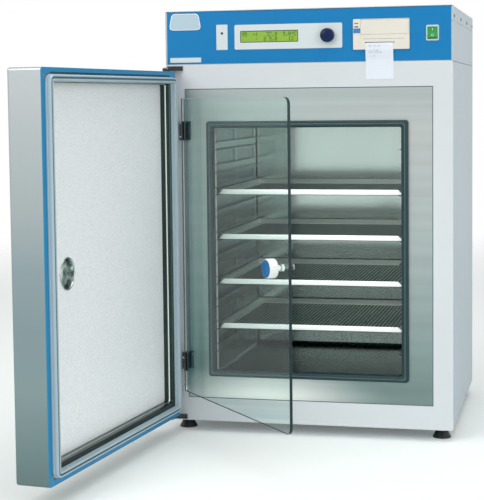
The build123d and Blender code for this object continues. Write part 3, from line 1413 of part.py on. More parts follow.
def power_rocker():
    """Rocker with two flat faces that meet in a shallow valley, pressed in at the top."""
    pivot_y, pivot_z = rocker_pivot()
    half = ROCKER_HEIGHT / 2
    crown = -SWITCH_PROUD - 1.6
    profile = [
        (crown, pivot_z - half + 1.4),
        (crown + 1.5, pivot_z),
        (crown, pivot_z + half - 1.4),
        (crown + 1.2, pivot_z + half - 0.8),
        (pivot_y - 2, pivot_z + half),
        (pivot_y + 2, pivot_z + half / 3),
        (pivot_y + 2, pivot_z - half / 3),
        (pivot_y - 2, pivot_z - half),
        (crown + 1.2, pivot_z - half + 0.8),
    ]
    rocker = across(make_face(Polyline(*profile, close=True)), *rocker_spans()[0])
    stub = Pos(pivot_y, pivot_z) * Circle(1.5)
    rocker += across(stub, *rocker_spans(ROCKER_GAP + 0.8)[0])
    about = Pos(0, pivot_y, pivot_z)
    return about * Rot(-ROCKER_TILT, 0, 0) * Pos(0, -pivot_y, -pivot_z) * rocker


def controller_board():
    """Controller board on its pillars with the larger components."""
    y_span = started(CABINET_DEPTH / 3, BOARD_DEPTH)
    x_span = started(display_spans()[0][0], BOARD_WIDTH)
    low = DECK_TOP + BOARD_RISE
    board = upward(patch(x_span, y_span), low, low + BOARD_SHEET)
    for x in grown(x_span, -8):
        for y in grown(y_span, -8):
            board += peg(x, y, 3, DECK_TOP, low)
    top = low + BOARD_SHEET
    board += upward(patch(started(x_span[0] + 20, 30), started(y_span[0] + 30, 30)), top, top + 3)
    board += upward(patch(started(x_span[0] + 70, 42), started(y_span[0] + 12, 22)), top, top + 14)
    for step in range(3):
        board += peg(x_span[0] + 30 + step * 20, y_span[1] - 22, 6, top, top + 16)
    return board


def power_supply():
    """Power supply in a vented case on the deck."""
    right = switch_spans()[0][1]
    x_span = (right - SUPPLY_WIDTH, right)
    y_span = started(CABINET_DEPTH / 3, SUPPLY_DEPTH)
    case = upward(patch(x_span, y_span), DECK_TOP, DECK_TOP + SUPPLY_HEIGHT)
    case = chamfer(case.edges().filter_by(Axis.Y), 1.5)
    top = DECK_TOP + SUPPLY_HEIGHT
    slots = GridLocations(1, 14, 1, 7) * Rectangle(SUPPLY_WIDTH - 30, 4)
    middle = Pos((x_span[0] + x_span[1]) / 2, (y_span[0] + y_span[1]) / 2)
    return case - upward(Sketch() + [middle * slot for slot in slots], top - 2, top)


def mains_place():
    """Middle of the mains inlet on the back."""
    return CABINET_WIDTH - MAINS_MARGIN, BODY_TOP + SERVICE_RISE


def gas_place():
    """Middle of the gas inlet on the back."""
    return GAS_MARGIN, BODY_TOP + SERVICE_RISE


def rear_cover():
    """Back sheet with folded edges, louvres for the control box and the service holes."""
    low = (BODY_BOTTOM, CABINET_HEIGHT)
    back = CABINET_DEPTH
    sheet = patch((0, CABINET_WIDTH), low, CASING_BEND)
    sheet -= Pos(*mains_place()) * Rectangle(28, 20.5)
    sheet -= Pos(*gas_place()) * Circle(5 + PRESS_GAP)
    louvres = GridLocations(1, LOUVRE_PITCH, 1, LOUVRE_COUNT) * Rectangle(LOUVRE_WIDTH, LOUVRE_HEIGHT)
    sheet -= Sketch() + [Pos(CENTRE_X, BODY_TOP + CONTROL_HEIGHT / 2) * louvre for louvre in louvres]
    nest = CASING_SHEET + SEAM
    body_x = grown((0, CABINET_WIDTH), -nest)
    body_z = grown((BODY_BOTTOM, BODY_TOP), -nest)
    fold = patch(body_x, body_z, CASING_BEND - nest) - patch(
        grown(body_x, -CASING_SHEET), grown(body_z, -CASING_SHEET)
    )
    cover = through(sheet, back - CASING_SHEET, back)
    return cover + through(fold, back - CASING_SHEET - REAR_FOLD, back - CASING_SHEET)


def mains_inlet():
    """Mains inlet with a flange outside, a socket and its three blades."""
    x, z = mains_place()
    back = CABINET_DEPTH
    body = Pos(x, z) * Rectangle(27.6, 20)
    flange = Pos(x, z) * RectangleRounded(48, 25, 3)
    inlet = through(flange, back, back + 3) + through(body, back - 22, back)
    socket = Pos(x, z) * RectangleRounded(24, 16, 2)
    inlet -= through(socket, back - 13, back + 3)
    blades = Sketch() + [Pos(x + step * 7, z + lift) * Rectangle(2, 4) for step, lift in ((-1, -1), (0, 2), (1, -1))]
    return inlet + through(blades, back - 14, back - 1)


def gas_inlet():
    """Barbed hose connector for the gas supply, nutted through the back sheet."""
    back = CABINET_DEPTH
    inside = back - CASING_SHEET
    outline = [
        (1.8, -inside + 10),
        (5, -inside + 10),
        (5, -inside + 8),
        (9, -inside + 8),
        (9, -inside),
        (5, -inside),
        (5, -back),
        (9, -back),
        (9, -back - 5),
        (4, -back - 5),
        (4, -back - 9),
        (5, -back - 9),
        (3.8, -back - 14),
        (5, -back - 14),
        (3.2, -back - 20),
        (1.8, -back - 20),
    ]
    return turned_front(*gas_place(), outline)


def casing_screws():
    """Pan head screws along both flanges of the lid."""
    head = [(0, 0), (SCREW_HEAD_RADIUS, 0), (SCREW_HEAD_RADIUS, 0.5), (SCREW_HEAD_RADIUS * 0.6, SCREW_HEAD), (0, SCREW_HEAD)]
    shape = revolve(Plane.XZ * make_face(Polyline(*head, close=True)), axis=Axis.Z)
    span = CABINET_DEPTH - 2 * SCREW_END_MARGIN
    height = CABINET_HEIGHT - SCREW_DROP
    screws = []
    for index in range(SCREW_COUNT):
        y = SCREW_END_MARGIN + index * span / (SCREW_COUNT - 1)
        screws.append(Location((CABINET_WIDTH, y, height), (0, 90, 0)) * shape)
        screws.append(Location((0, y, height), (0, -90, 0)) * shape)
    return screws


def levelling_foot(x, y):
    """Foot with a tapered pad, a hexagon to turn it by and a stud in the cabinet's boss."""
    nut_top = FOOT_CLEARANCE - SEAM
    pad = turned_up(
        x,
        y,
        [(0, 0), (FOOT_PAD_RADIUS - 1, 0), (FOOT_PAD_RADIUS, 1.5), (FOOT_TOP_RADIUS, FOOT_PAD_HEIGHT), (0, FOOT_PAD_HEIGHT)],
    )
    nut = Pos(x, y) * RegularPolygon(FOOT_NUT_ACROSS / 2, 6, major_radius=False)
    foot = pad + upward(nut, FOOT_PAD_HEIGHT, nut_top)
    return foot + peg(x, y, FOOT_STUD_RADIUS, nut_top, nut_top + FOOT_STUD_REACH)


def place(pieces):
    """Move pieces from the corner of the cabinet to the middle of its footprint."""
    solids = pieces if isinstance(pieces, list) else [pieces]
    shift = Pos(-CABINET_WIDTH / 2, -CABINET_DEPTH / 2, 0)
    moved = [solid for piece in solids for solid in (shift * piece).solids()]
    return moved[0] if len(moved) == 1 else Compound(children=moved)


def open_door(pieces):
    """Swing pieces of the outer door to its resting angle."""
    solids = pieces if isinstance(pieces, list) else [pieces]
    return [swung(piece, DOOR_PIN, DOOR_REST_ANGLE) for piece in solids]


def open_glass(pieces):
    """Swing pieces of the glass door to its resting angle."""
    solids = pieces if isinstance(pieces, list) else [pieces]
    return [swung(piece, GLASS_PIN, GLASS_REST_ANGLE) for piece in solids]


def build():
    """Every piece of the incubator by the name of its node."""
    nodes = {
        "cabinet_shell": cabinet_shell(),
        "front_frame": front_frame(),
        "face_insert": face_insert(),
        "chamber_liner": chamber_liner(),
        "chamber_seal": chamber_seal(),
        "insulation_jacket": insulation(),
        "rear_cover": rear_cover(),
        "control_chassis": control_chassis(),
        "top_lid": top_lid(),
        "fascia": fascia(),
        "control_plates": control_plates(),
        "screen_module": screen_module(),
        "status_lamp": status_lamp(),
        "printer_housing": printer_housing(),
        "printer_paper": printer_paper(),
        "switch_bezel": switch_bezel(),
        "encoder_body": encoder_body(),
        "controller_board": controller_board(),
        "power_supply": power_supply(),
        "left_rack": rack("left"),
        "right_rack": rack("right"),
        "duct_cover": duct_cover(),
        "air_heater": air_heater(),
        "fan_motor": fan_motor(),
        "chamber_sensors": chamber_sensors(),
        "gas_inlet": gas_inlet(),
        "mains_inlet": mains_inlet(),
        "hinge_brackets": hinge_brackets(),
        "hinge_pins": hinge_pins(),
        "glass_hinge_plates": glass_hinge_plates(),
        "frame_bumper": frame_bumper(),
        "casing_screws": casing_screws(),
        "door_shell": open_door(door_shell()),
        "door_rim": open_door(door_rim()),
        "door_seal": open_door(door_seal()),
        "door_liner": open_door(door_liner()),
        "door_panel": open_door(door_panel()),
        "knob_cup": open_door(knob_cup()),
        "door_insulation": open_door(door_insulation()),
        "door_grip": open_door(door_grip()),
        "door_bushes": open_door(door_bushes()),
        "glass_pane": open_glass(glass_pane()),
        "glass_clamps": open_glass(glass_clamps()),
        "latch_bush": open_glass(latch_bush()),
        "latch_knob": open_glass(latch_knob()),
        "latch_cap": open_glass(latch_cap()),
        "latch_spindle": open_glass(latch_spindle()),
        "encoder_knob": encoder_knob(),
        "power_rocker": power_rocker(),
        "printer_cover": printer_cover(),
        "feed_button": feed_button(),
        "fan_impeller": fan_impeller(),
    }
    for index in range(SHELF_COUNT):
        nodes[f"shelf_{index + 1}"] = shelf(index)
    for name, (x, y) in foot_places().items():
        nodes[f"foot_{name}"] = levelling_foot(x, y)
    return nodes


os.makedirs("parts", exist_ok=True)
for node, pieces in build().items():
    export_step(place(pieces), f"parts/{node}.step")
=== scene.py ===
import logging
from dataclasses import dataclass, field
from enum import Enum
from functools import cache
from math import cos, pi, radians, sin

import bmesh
import bpy
import numpy as np
from bpy.types import Material, Node, NodeSocket, NodeTree
from mathutils import Matrix, Vector


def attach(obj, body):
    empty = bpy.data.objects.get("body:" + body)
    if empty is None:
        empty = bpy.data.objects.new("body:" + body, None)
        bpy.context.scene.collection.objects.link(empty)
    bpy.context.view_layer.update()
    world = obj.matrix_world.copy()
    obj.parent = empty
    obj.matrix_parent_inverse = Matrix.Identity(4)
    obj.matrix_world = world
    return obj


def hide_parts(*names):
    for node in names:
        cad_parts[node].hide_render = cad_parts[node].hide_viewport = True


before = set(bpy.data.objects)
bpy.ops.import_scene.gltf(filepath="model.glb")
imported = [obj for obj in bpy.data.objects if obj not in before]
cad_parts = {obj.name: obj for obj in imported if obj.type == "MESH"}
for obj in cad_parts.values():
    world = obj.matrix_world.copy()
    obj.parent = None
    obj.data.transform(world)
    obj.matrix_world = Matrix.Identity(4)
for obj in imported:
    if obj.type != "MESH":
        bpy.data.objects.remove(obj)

# Looks of the bench-top carbon dioxide incubator. Shapes are worked out in millimetres from the
# cabinet's lower front left corner, as the solids are: x to the right, y into the depth, z up.

LOG = logging.getLogger("incubator")
MM = 0.001
CORNER = np.array((-300.0, -262.5, 0.0))
SHARP_ANGLE = radians(38)
DOUBLES = 0.002
CABINET_WIDTH = 600.0

Pair = tuple[float, float]
Triple = tuple[float, float, float]


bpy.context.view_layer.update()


def linear(code: str) -> tuple[float, float, float, float]:
    """Turn an sRGB colour code into Blender's linear colour.

    Args:
        code: A hash and six hexadecimal digits.

    Returns:
        Linear red, green and blue, and an alpha of one.
    """
    channels = np.array([int(code[at:at + 2], 16) for at in (1, 3, 5)]) / 255
    low = channels / 12.92
    high = ((channels + 0.055) / 1.055) ** 2.4
    red, green, blue = np.where(channels <= 0.04045, low, high)
    return float(red), float(green), float(blue), 1.0


def add_node(tree: NodeTree, kind: str, inputs: dict | None = None, **settings) -> Node:
    """Add a shader node with its settings, values and links.

    Args:
        tree: Node tree that gets the node.
        kind: Blender's identifier of the node.
        inputs: Value or output socket for each input, by its name or number.
        **settings: Attributes of the node itself.

    Returns:
        The new node.
    """
    node = tree.nodes.new(kind)
    for name, value in settings.items():
        setattr(node, name, value)
    for key, value in (inputs or {}).items():
        if isinstance(value, NodeSocket):
            tree.links.new(value, node.inputs[key])
        else:
            node.inputs[key].default_value = value
    return node


def per_metre(size: float) -> float:
    """Texture scale, in features per metre, for a feature of so many millimetres."""
    return 1 / (size * MM)


def emptied(owner: bpy.types.ID) -> NodeTree:
    """Switch on the nodes of a material or world, and clear them away.

    Args:
        owner: The material or world.

    Returns:
        Its empty node tree.
    """
    owner.use_nodes = True
    owner.node_tree.nodes.clear()
    return owner.node_tree


@dataclass(frozen=True)
class Finish:
    """Plain moulded finish, and the parent of every other finish.

    Soft clouds vary the colour, and a fine grain varies the roughness and tilts the surface. The
    widths of the grain and the clouds and the depth of the relief are in millimetres.
    """

    title: str
    colour: str = "#FFFFFF"
    roughness: float = 0.45
    metallic: float = 0.0
    ior: float = 1.5
    coat: float = 0.0
    transmission: float = 0.0
    grain: float = 0.8
    swing: float = 0.06
    relief: float = 0.05
    depth: float = 0.15
    mottle: float = 0.03
    cloud: float = 45.0

    @cache
    def material(self) -> Material:
        """Build this finish's material once.

        Returns:
            The material, which every piece of this finish shares.
        """
        material = bpy.data.materials.new(self.title)
        tree = emptied(material)
        values = {
            "Base Color": linear(self.colour),
            "Roughness": self.roughness,
            "Metallic": self.metallic,
            "Coat Weight": self.coat,
            "Transmission Weight": self.transmission,
        }
        if self.metallic < 1:
            values["IOR"] = self.ior
        shader = add_node(tree, "ShaderNodeBsdfPrincipled", values)
        place = add_node(tree, "ShaderNodeTexCoord").outputs["Object"]
        self.pattern(tree, shader, place)
        add_node(tree, "ShaderNodeOutputMaterial", {"Surface": shader.outputs[0]})
        return material

    def pattern(self, tree: NodeTree, shader: Node, place: NodeSocket) -> None:
        """Give the surface its grain.

        Args:
            tree: Node tree of the material.
            shader: Its surface shader.
            place: Position on the object, in metres.
        """
        fine = add_node(
            tree, "ShaderNodeTexNoise", {"Vector": place, "Scale": per_metre(self.grain), "Detail": 3.0}
        )
        self.tint(tree, shader, place)
        self.relieve(tree, shader, fine.outputs["Fac"])

    def tint(self, tree: NodeTree, shader: Node, place: NodeSocket) -> None:
        """Vary the colour in soft clouds.

        Args:
            tree: Node tree of the material.
            shader: Its surface shader.
            place: Position on the object, in metres.
        """
        clouds = add_node(
            tree, "ShaderNodeTexNoise", {"Vector": place, "Scale": per_metre(self.cloud), "Detail": 2.0}
        )
        base = np.array(linear(self.colour)[:3])
        dark = tuple(base * (1 - self.mottle)) + (1.0,)
        light = tuple(np.minimum(base * (1 + self.mottle), 1)) + (1.0,)
        mix = add_node(
            tree, "ShaderNodeMix", {0: clouds.outputs["Fac"], 6: dark, 7: light}, data_type="RGBA"
        )
        tree.links.new(mix.outputs[2], shader.inputs["Base Color"])

    def relieve(self, tree: NodeTree, shader: Node, pattern: NodeSocket) -> None:
        """Vary the roughness about its value with a pattern, and raise the surface with it.

        Args:
            tree: Node tree of the material.
            shader: Its surface shader.
            pattern: Grey pattern from zero to one, high where the surface stands proud.
        """
        self.roughen(tree, shader, pattern)
        self.emboss(tree, shader, pattern)

    def roughen(self, tree: NodeTree, shader: Node, pattern: NodeSocket) -> None:
        """Vary the roughness by at most the swing either way."""
        low = max(self.roughness - self.swing, 0.0)
        high = min(self.roughness + self.swing, 1.0)
        scale = add_node(tree, "ShaderNodeMapRange", {"Value": pattern, "To Min": low, "To Max": high})
        tree.links.new(scale.outputs[0], shader.inputs["Roughness"])

    def emboss(self, tree: NodeTree, shader: Node, pattern: NodeSocket) -> None:
        """Raise the surface by the pattern times the depth; the relief is the share of the effect."""
        values = {"Height": pattern, "Strength": self.relief, "Distance": self.depth * MM}
        bump = add_node(tree, "ShaderNodeBump", values)
        tree.links.new(bump.outputs[0], shader.inputs["Normal"])


@dataclass(frozen=True)
class PowderCoat(Finish):
    """Baked polyester powder on steel: satin, with the soft dimples called orange peel."""

    roughness: float = 0.38
    swing: float = 0.05
    relief: float = 0.22
    depth: float = 0.12
    cloud: float = 120.0
    peel: float = 2.2

    def pattern(self, tree: NodeTree, shader: Node, place: NodeSocket) -> None:
        """Add the dimples; they are drawn at twice their real width so that they show."""
        peel = add_node(
            tree, "ShaderNodeTexNoise", {"Vector": place, "Scale": per_metre(self.peel), "Detail": 2.0}
        )
        self.tint(tree, shader, place)
        self.relieve(tree, shader, peel.outputs["Fac"])


class Grain(Enum):
    """Direction of the grinding lines on brushed steel."""

    ACROSS = (0.012, 1.0, 1.0)
    DEEP = (1.0, 0.012, 1.0)
    UPRIGHT = (1.0, 1.0, 0.012)
    TURNED = (1.0, 1.0, 1.0)


@dataclass(frozen=True)
class Steel(Finish):
    """Ground or polished stainless steel, with long grinding lines in one direction."""

    roughness: float = 0.28
    metallic: float = 1.0
    lines: float = 1.1
    run: Grain = Grain.ACROSS
    swing: float = 0.09
    relief: float = 0.10
    depth: float = 0.05
    mottle: float = 0.05
    cloud: float = 160.0
    streak: float = 0.0
    streak_width: float = 26.0

    def pattern(self, tree: NodeTree, shader: Node, place: NodeSocket) -> None:
        """Add the grinding lines; real ones are 0.1 mm apart, drawn coarser so that they show."""
        stretched = add_node(tree, "ShaderNodeMapping", {"Vector": place, "Scale": self.run.value}).outputs[0]
        lines = add_node(
            tree, "ShaderNodeTexNoise", {"Vector": stretched, "Scale": per_metre(self.lines), "Detail": 4.0}
        )
        self.tint(tree, shader, place)
        if self.streak:
            self.smear(tree, shader, stretched)
        self.relieve(tree, shader, lines.outputs["Fac"])

    def smear(self, tree: NodeTree, shader: Node, stretched: NodeSocket) -> None:
        """Lighten and darken the colour in broad bands along the lines, as wiping leaves them.

        Args:
            tree: Node tree of the material.
            shader: Its surface shader.
            stretched: Position, drawn out along the lines.
        """
        size = per_metre(self.streak_width)
        bands = add_node(tree, "ShaderNodeTexNoise", {"Vector": stretched, "Scale": size, "Detail": 3.0})
        values = {
            "Value": bands.outputs["Fac"], "From Min": 0.3, "From Max": 0.7,
            "To Min": 1 - self.streak, "To Max": 1 + self.streak,
        }
        level = add_node(tree, "ShaderNodeMapRange", values)
        colour = shader.inputs["Base Color"].links[0].from_socket
        both = add_node(
            tree, "ShaderNodeVectorMath", {0: colour, "Scale": level.outputs[0]}, operation="SCALE"
        )
        tree.links.new(both.outputs[0], shader.inputs["Base Color"])


@dataclass(frozen=True)
class PaintedShadeSteel(Steel):
    """Steel sheet that darkens towards its foot: painted shade and painted reflection of the dark floor, not
    a colour of the steel.
    """

    shade_by_height: tuple[tuple[float, str], ...] = ()

    def tint(self, tree: NodeTree, shader: Node, place: NodeSocket) -> None:
        """Pass through the painted shade colours of the levels, in heights of millimetres, and add soft
        clouds.
        """
        low, high = self.shade_by_height[0][0], self.shade_by_height[-1][0]
        height = add_node(tree, "ShaderNodeSeparateXYZ", {0: place}).outputs["Z"]
        clouds = add_node(
            tree, "ShaderNodeTexNoise", {"Vector": place, "Scale": per_metre(self.cloud), "Detail": 2.0}
        )
        values = {0: clouds.outputs["Fac"], 1: self.mottle, 2: height}
        swing = add_node(tree, "ShaderNodeMath", values, operation="MULTIPLY_ADD")
        values = {"Value": swing.outputs[0], "From Min": low * MM, "From Max": high * MM}
        share = add_node(tree, "ShaderNodeMapRange", values)
        ramp = add_node(tree, "ShaderNodeValToRGB", {0: share.outputs[0]})
        stops = ramp.color_ramp.elements
        while len(stops) < len(self.shade_by_height):
            stops.new(1.0)
        for stop, (where, colour) in zip(stops, self.shade_by_height):
            stop.position = (where - low) / (high - low)
            stop.color = linear(colour)
        tree.links.new(ramp.outputs[0], shader.inputs["Base Color"])


@dataclass(frozen=True)
class HighlightedShadePlate(PaintedShadeSteel):
    """Graded plate with a painted highlight: a brighter patch near its foot."""

    # Middle, reach and colour of the painted highlight, in millimetres and sRGB.
    highlight_middle: Pair = (190.0, 82.0)
    reach: Pair = (290.0, 75.0)
    bright: str = "#F6F7F4"

    def tint(self, tree: NodeTree, shader: Node, place: NodeSocket) -> None:
        """Blend the painted highlight's colour in, by the distance from its middle over its reach."""
        super().tint(tree, shader, place)
        scale = (per_metre(self.reach[0]), 0.0, per_metre(self.reach[1]))
        middle = ((self.highlight_middle[0] + CORNER[0]) * MM * scale[0], 0.0, self.highlight_middle[1] * MM * scale[2])
        values = {"Vector": place, "Location": tuple(-part for part in middle), "Scale": scale}
        spread = add_node(tree, "ShaderNodeMapping", values)
        away = add_node(tree, "ShaderNodeVectorMath", {0: spread.outputs[0]}, operation="LENGTH")
        values = {"Value": away.outputs["Value"], "To Min": 1.0, "To Max": 0.0}
        share = add_node(tree, "ShaderNodeMapRange", values, interpolation_type="SMOOTHSTEP")
        colour = shader.inputs["Base Color"].links[0].from_socket
        values = {0: share.outputs[0], 6: colour, 7: linear(self.bright)}
        mix = add_node(tree, "ShaderNodeMix", values, data_type="RGBA")
        tree.links.new(mix.outputs[2], shader.inputs["Base Color"])


@dataclass(frozen=True)
class Hammered(Finish):
    """Stucco-embossed aluminium with a white enamel: a close pattern of small raised crumbs."""

    roughness: float = 0.42
    swing: float = 0.08
    relief: float = 0.3
    depth: float = 0.4
    crumb: float = 1.7
    clump: float = 3.4
    # Colour of the painted shade in the hollows between the crumbs.
    hollow_shade: str = "#E0E6E9"

    def pattern(self, tree: NodeTree, shader: Node, place: NodeSocket) -> None:
        """Add the crumbs, and grey them a little in the hollows between them as painted shade."""
        clumps, crumbs = (
            add_node(tree, "ShaderNodeTexNoise", {"Vector": place, "Scale": per_metre(size), "Detail": 3.0})
            for size in (self.clump, self.crumb)
        )
        values = {0: crumbs.outputs["Fac"], 1: clumps.outputs["Fac"]}
        both = add_node(tree, "ShaderNodeMath", values, operation="MULTIPLY")
        values = {"Value": both.outputs[0], "From Min": 0.14, "From Max": 0.34}
        share = add_node(tree, "ShaderNodeMapRange", values)
        values = {0: share.outputs[0], 6: linear(self.hollow_shade), 7: linear(self.colour)}
        mix = add_node(tree, "ShaderNodeMix", values, data_type="RGBA")
        tree.links.new(mix.outputs[2], shader.inputs["Base Color"])
        self.relieve(tree, shader, crumbs.outputs["Fac"])


@dataclass(frozen=True)
class Sheetglass(Finish):
    """Toughened float glass, clear through its faces."""

    roughness: float = 0.0
    transmission: float = 1.0
    ior: float = 1.22
    relief: float = 0.03
    depth: float = 1.0
    wave: float = 180.0
    shade: float = 0.04

    def pattern(self, tree: NodeTree, shader: Node, place: NodeSocket) -> None:
        """Add the faint waves that toughening leaves, and let all but the shade of a shadow through."""
        rays = add_node(tree, "ShaderNodeLightPath")
        values = {"Value": rays.outputs["Is Shadow Ray"], "To Min": 1.0, "To Max": self.shade}
        solid = add_node(tree, "ShaderNodeMapRange", values)
        tree.links.new(solid.outputs[0], shader.inputs["Alpha"])
        waves = add_node(
            tree, "ShaderNodeTexNoise", {"Vector": place, "Scale": per_metre(self.wave), "Detail": 1.0}
        )
        self.emboss(tree, shader, waves.outputs["Fac"])


@dataclass(frozen=True)
class Stripes(Finish):
    """Finish with fine parallel lines, as on thermal paper or a liquid crystal cell."""

    swing: float = 0.04
    pitch: float = 1.0
    line: str = "#FFFFFF"

    def pattern(self, tree: NodeTree, shader: Node, place: NodeSocket) -> None:
        """Add the lines as a soft wave along the height."""
        values = {"Vector": place, "Scale": per_metre(self.pitch) / (2 * pi), "Distortion": 0.4}
        waves = add_node(tree, "ShaderNodeTexWave", values, bands_direction="Z")
        values = {0: waves.outputs["Fac"], 6: linear(self.colour), 7: linear(self.line)}
        mix = add_node(tree, "ShaderNodeMix", values, data_type="RGBA")
        tree.links.new(mix.outputs[2], shader.inputs["Base Color"])
        self.roughen(tree, shader, waves.outputs["Fac"])


# Painted steel
PALE_COAT = PowderCoat("polyester_powder_pale_grey", "#D1D6D9", roughness=0.42)
# Same pale paint as the front frame, darkened as painted shade of the cabinet's shaded side; the back,
# chassis and lid take it too.
SIDE_SHADE_COAT = PowderCoat("powder_coat_side_painted_shade", "#AEBCC4", roughness=0.45)
BLUE_COAT = PowderCoat("polyester_powder_blue", "#0F79B4", roughness=0.42, ior=1.3)
RIM_COAT = PowderCoat("polyester_powder_rim_blue", "#2483B2", roughness=0.4, ior=1.3)
BLACK_COAT = PowderCoat("polyester_powder_black", "#16181A", roughness=0.4)
# Stainless steel
# Face plate: ground steel with painted shade darkening towards the foot, and a painted highlight near it.
INSERT_PAINTED_LIGHT_STEEL = HighlightedShadePlate(
    "ground_plate_painted_shade_and_highlight", roughness=0.36, cloud=90.0, streak=0.07,
    shade_by_height=(
        (95.0, "#7C908E"), (134.0, "#768A88"), (200.0, "#869A98"), (330.0, "#99A7A7"),
        (460.0, "#A9B4B3"), (655.0, "#B5BBB9"), (728.0, "#AEB7B6"),
    ),
)
# Chamber steel, also on the door's seal flange: near black at the foot, as painted shade of the chamber's
# inside.
LINER_SHADE_STEEL = PaintedShadeSteel(
    "bright_rolled_chamber_painted_shade", roughness=0.24, run=Grain.UPRIGHT, relief=0.06, mottle=0.08,
    shade_by_height=((100.0, "#1E2F2C"), (330.0, "#45605B"), (660.0, "#526C67")),
)
DUCT_STEEL = Steel(
    "mirror_polished_stainless_duct", "#C2CECA", roughness=0.13, run=Grain.UPRIGHT, relief=0.05,
)
# Rack steel darkened as painted shade inside the chamber; the glass hinge plates take it too.
RACK_SHADE_STEEL = Steel("pressed_rack_painted_shade", "#72857F", roughness=0.2, run=Grain.DEEP)
# Dark walls of the shelf holes: painted shade inside the holes.
SHELF_HOLE_SHADE = Steel("punched_hole_wall_painted_shade", "#36433F", roughness=0.4, run=Grain.TURNED)
SHELF_STEEL = Steel("perforated_stainless_shelf", "#C9D2CD", roughness=0.3, run=Grain.DEEP)
LIP_STEEL = Steel("ground_stainless_lip", "#F4F6F3", roughness=0.42, run=Grain.ACROSS)
# Door pan: darker towards the foot, as a painted reflection of the dark floor.
DOOR_REFLECTION_STEEL = PaintedShadeSteel(
    "brushed_door_painted_reflection", roughness=0.36, cloud=220.0,
    shade_by_height=(
        (50.0, "#667A7A"), (124.0, "#738788"), (227.0, "#839698"), (330.0, "#849599"),
        (434.0, "#8C9CA0"), (537.0, "#A0AAAB"), (640.0, "#A6AFB0"), (743.0, "#ABB1B3"),
    ),
)
# Door recess wall nearly black as painted shade, and its bead near white as a painted highlight.
RECESS_SHADE_STEEL = Steel("bright_rolled_recess_painted_shade", "#3A4745", roughness=0.14, run=Grain.UPRIGHT)
BEAD_HIGHLIGHT_STEEL = Steel("polished_bead_painted_highlight", "#DDE3DE", roughness=0.1, run=Grain.UPRIGHT)
# Near-white finish of the rack beads: a painted highlight.
RACK_EDGE_HIGHLIGHT = Steel("rack_edge_painted_highlight", "#EDF1EE", roughness=0.5, metallic=0.35, run=Grain.UPRIGHT)
CUP_STEEL = Steel("spun_stainless_cup", "#B9C2BF", roughness=0.16, run=Grain.TURNED, lines=0.9)
# Small metal
ZINC = Steel("zinc_plated_steel", "#9DA3A6", roughness=0.34, run=Grain.TURNED, lines=0.7)
TURNED_STEEL = Steel("turned_steel", "#8B9092", roughness=0.3, run=Grain.TURNED, lines=0.6)
CHROME = Steel("chrome_plated_boss", "#EEF2F1", roughness=0.12, run=Grain.TURNED, lines=0.6, relief=0.03)
BRASS = Steel("turned_brass", "#B99B4E", roughness=0.28, run=Grain.TURNED, lines=0.6)
CAST_ALLOY = Steel("die_cast_aluminium", "#A9ADAF", roughness=0.48, run=Grain.TURNED, lines=1.6, relief=0.25)
SHEATH = Steel("heater_sheath_alloy", "#6F6A64", roughness=0.5, run=Grain.TURNED, lines=0.8)
SCREW_STEEL = Steel("dulled_screw_steel", "#5F676B", roughness=0.42, run=Grain.TURNED, lines=0.5)
# Rubber, glass and plastics
CHAMBER_RUBBER = Finish("moulded_silicone_dark_teal", "#0C2B2F", roughness=0.5, grain=1.1, relief=0.12)
CHAMBER_BEAD = Finish("moulded_silicone_worn_bead", "#3F6266", roughness=0.42, grain=1.1, relief=0.10)
DOOR_RUBBER = Finish("extruded_magnetic_seal_grey", "#A9BDC7", roughness=0.38, grain=1.2, relief=0.08)
DOOR_GROOVE = Finish("extruded_seal_fold_shadow", "#5F7F88", roughness=0.5, grain=1.2, relief=0.08)
WINDOW_JOINT_DARK = Finish("window_joint_dark_grey", "#59666A", roughness=0.5, grain=1.2)
FOOT_RUBBER = Finish("moulded_rubber_black", "#0E1413", roughness=0.5, grain=1.4, relief=0.2)
CLEAR_GLASS = Sheetglass("toughened_glass_face", "#F1FBF8")
GLASS_EDGE = Finish("ground_glass_edge", "#04282A", roughness=0.34, ior=1.4, grain=0.6)
# Pale top edge of the pane: a painted highlight on the same ground edge.
GLASS_HIGHLIGHT_TOP = Finish("ground_glass_top_painted_highlight", "#8FA9A2", roughness=0.2, ior=1.5, coat=0.3, grain=0.6)
BLACK_PLASTIC = Finish("moulded_nylon_black", "#060707", roughness=0.42, grain=0.9, relief=0.12)
WHITE_PLASTIC = Finish("moulded_nylon_white", "#EEF1F0", roughness=0.36, grain=0.9)
CAP_PLASTIC = Finish("moulded_abs_blue_cap", "#04659B", roughness=0.4, ior=1.3, grain=1.0)
NAVY_PLASTIC = Finish("moulded_abs_navy", "#061F49", roughness=0.2, ior=1.28, grain=1.0)
BEIGE_PLASTIC = Finish("moulded_abs_beige", "#DEDACE", roughness=0.5, grain=0.8, relief=0.1)
DARK_MARK = Finish("moulded_detail_dark", "#3A3F3C", roughness=0.5, grain=0.6)
TAB_PLASTIC = Finish("moulded_abs_blue_key", "#2E7FBE", roughness=0.36, grain=0.9)
PALE_FILM = Finish("printed_polyester_film_pale", "#CFD8DA", roughness=0.42, grain=0.9, relief=0.04)
BADGE_FILM = Finish("printed_polyester_film_badge", "#AEC5D1", roughness=0.36, grain=0.9, relief=0.04)
RIM_FILM = Finish("printed_polyester_film_rim", "#E9F1F5", roughness=0.3, grain=0.9, relief=0.04)
BEZEL_PLASTIC = Finish("moulded_pc_bezel", "#B9D2C9", roughness=0.3, grain=0.8)
ROCKER_PLASTIC = Finish("translucent_pc_green", "#1F8A3C", roughness=0.26, coat=0.3, grain=0.8)
MARK_PLASTIC = Finish("printed_mark_pale", "#9FE0B0", roughness=0.4, grain=0.6)
SCREEN_GLASS = Stripes("liquid_crystal_backlit", "#84AE30", roughness=0.25, pitch=1.3, line="#8DB838")
SCREEN_INK = Finish("liquid_crystal_segment", "#10250C", roughness=0.3, grain=0.6)
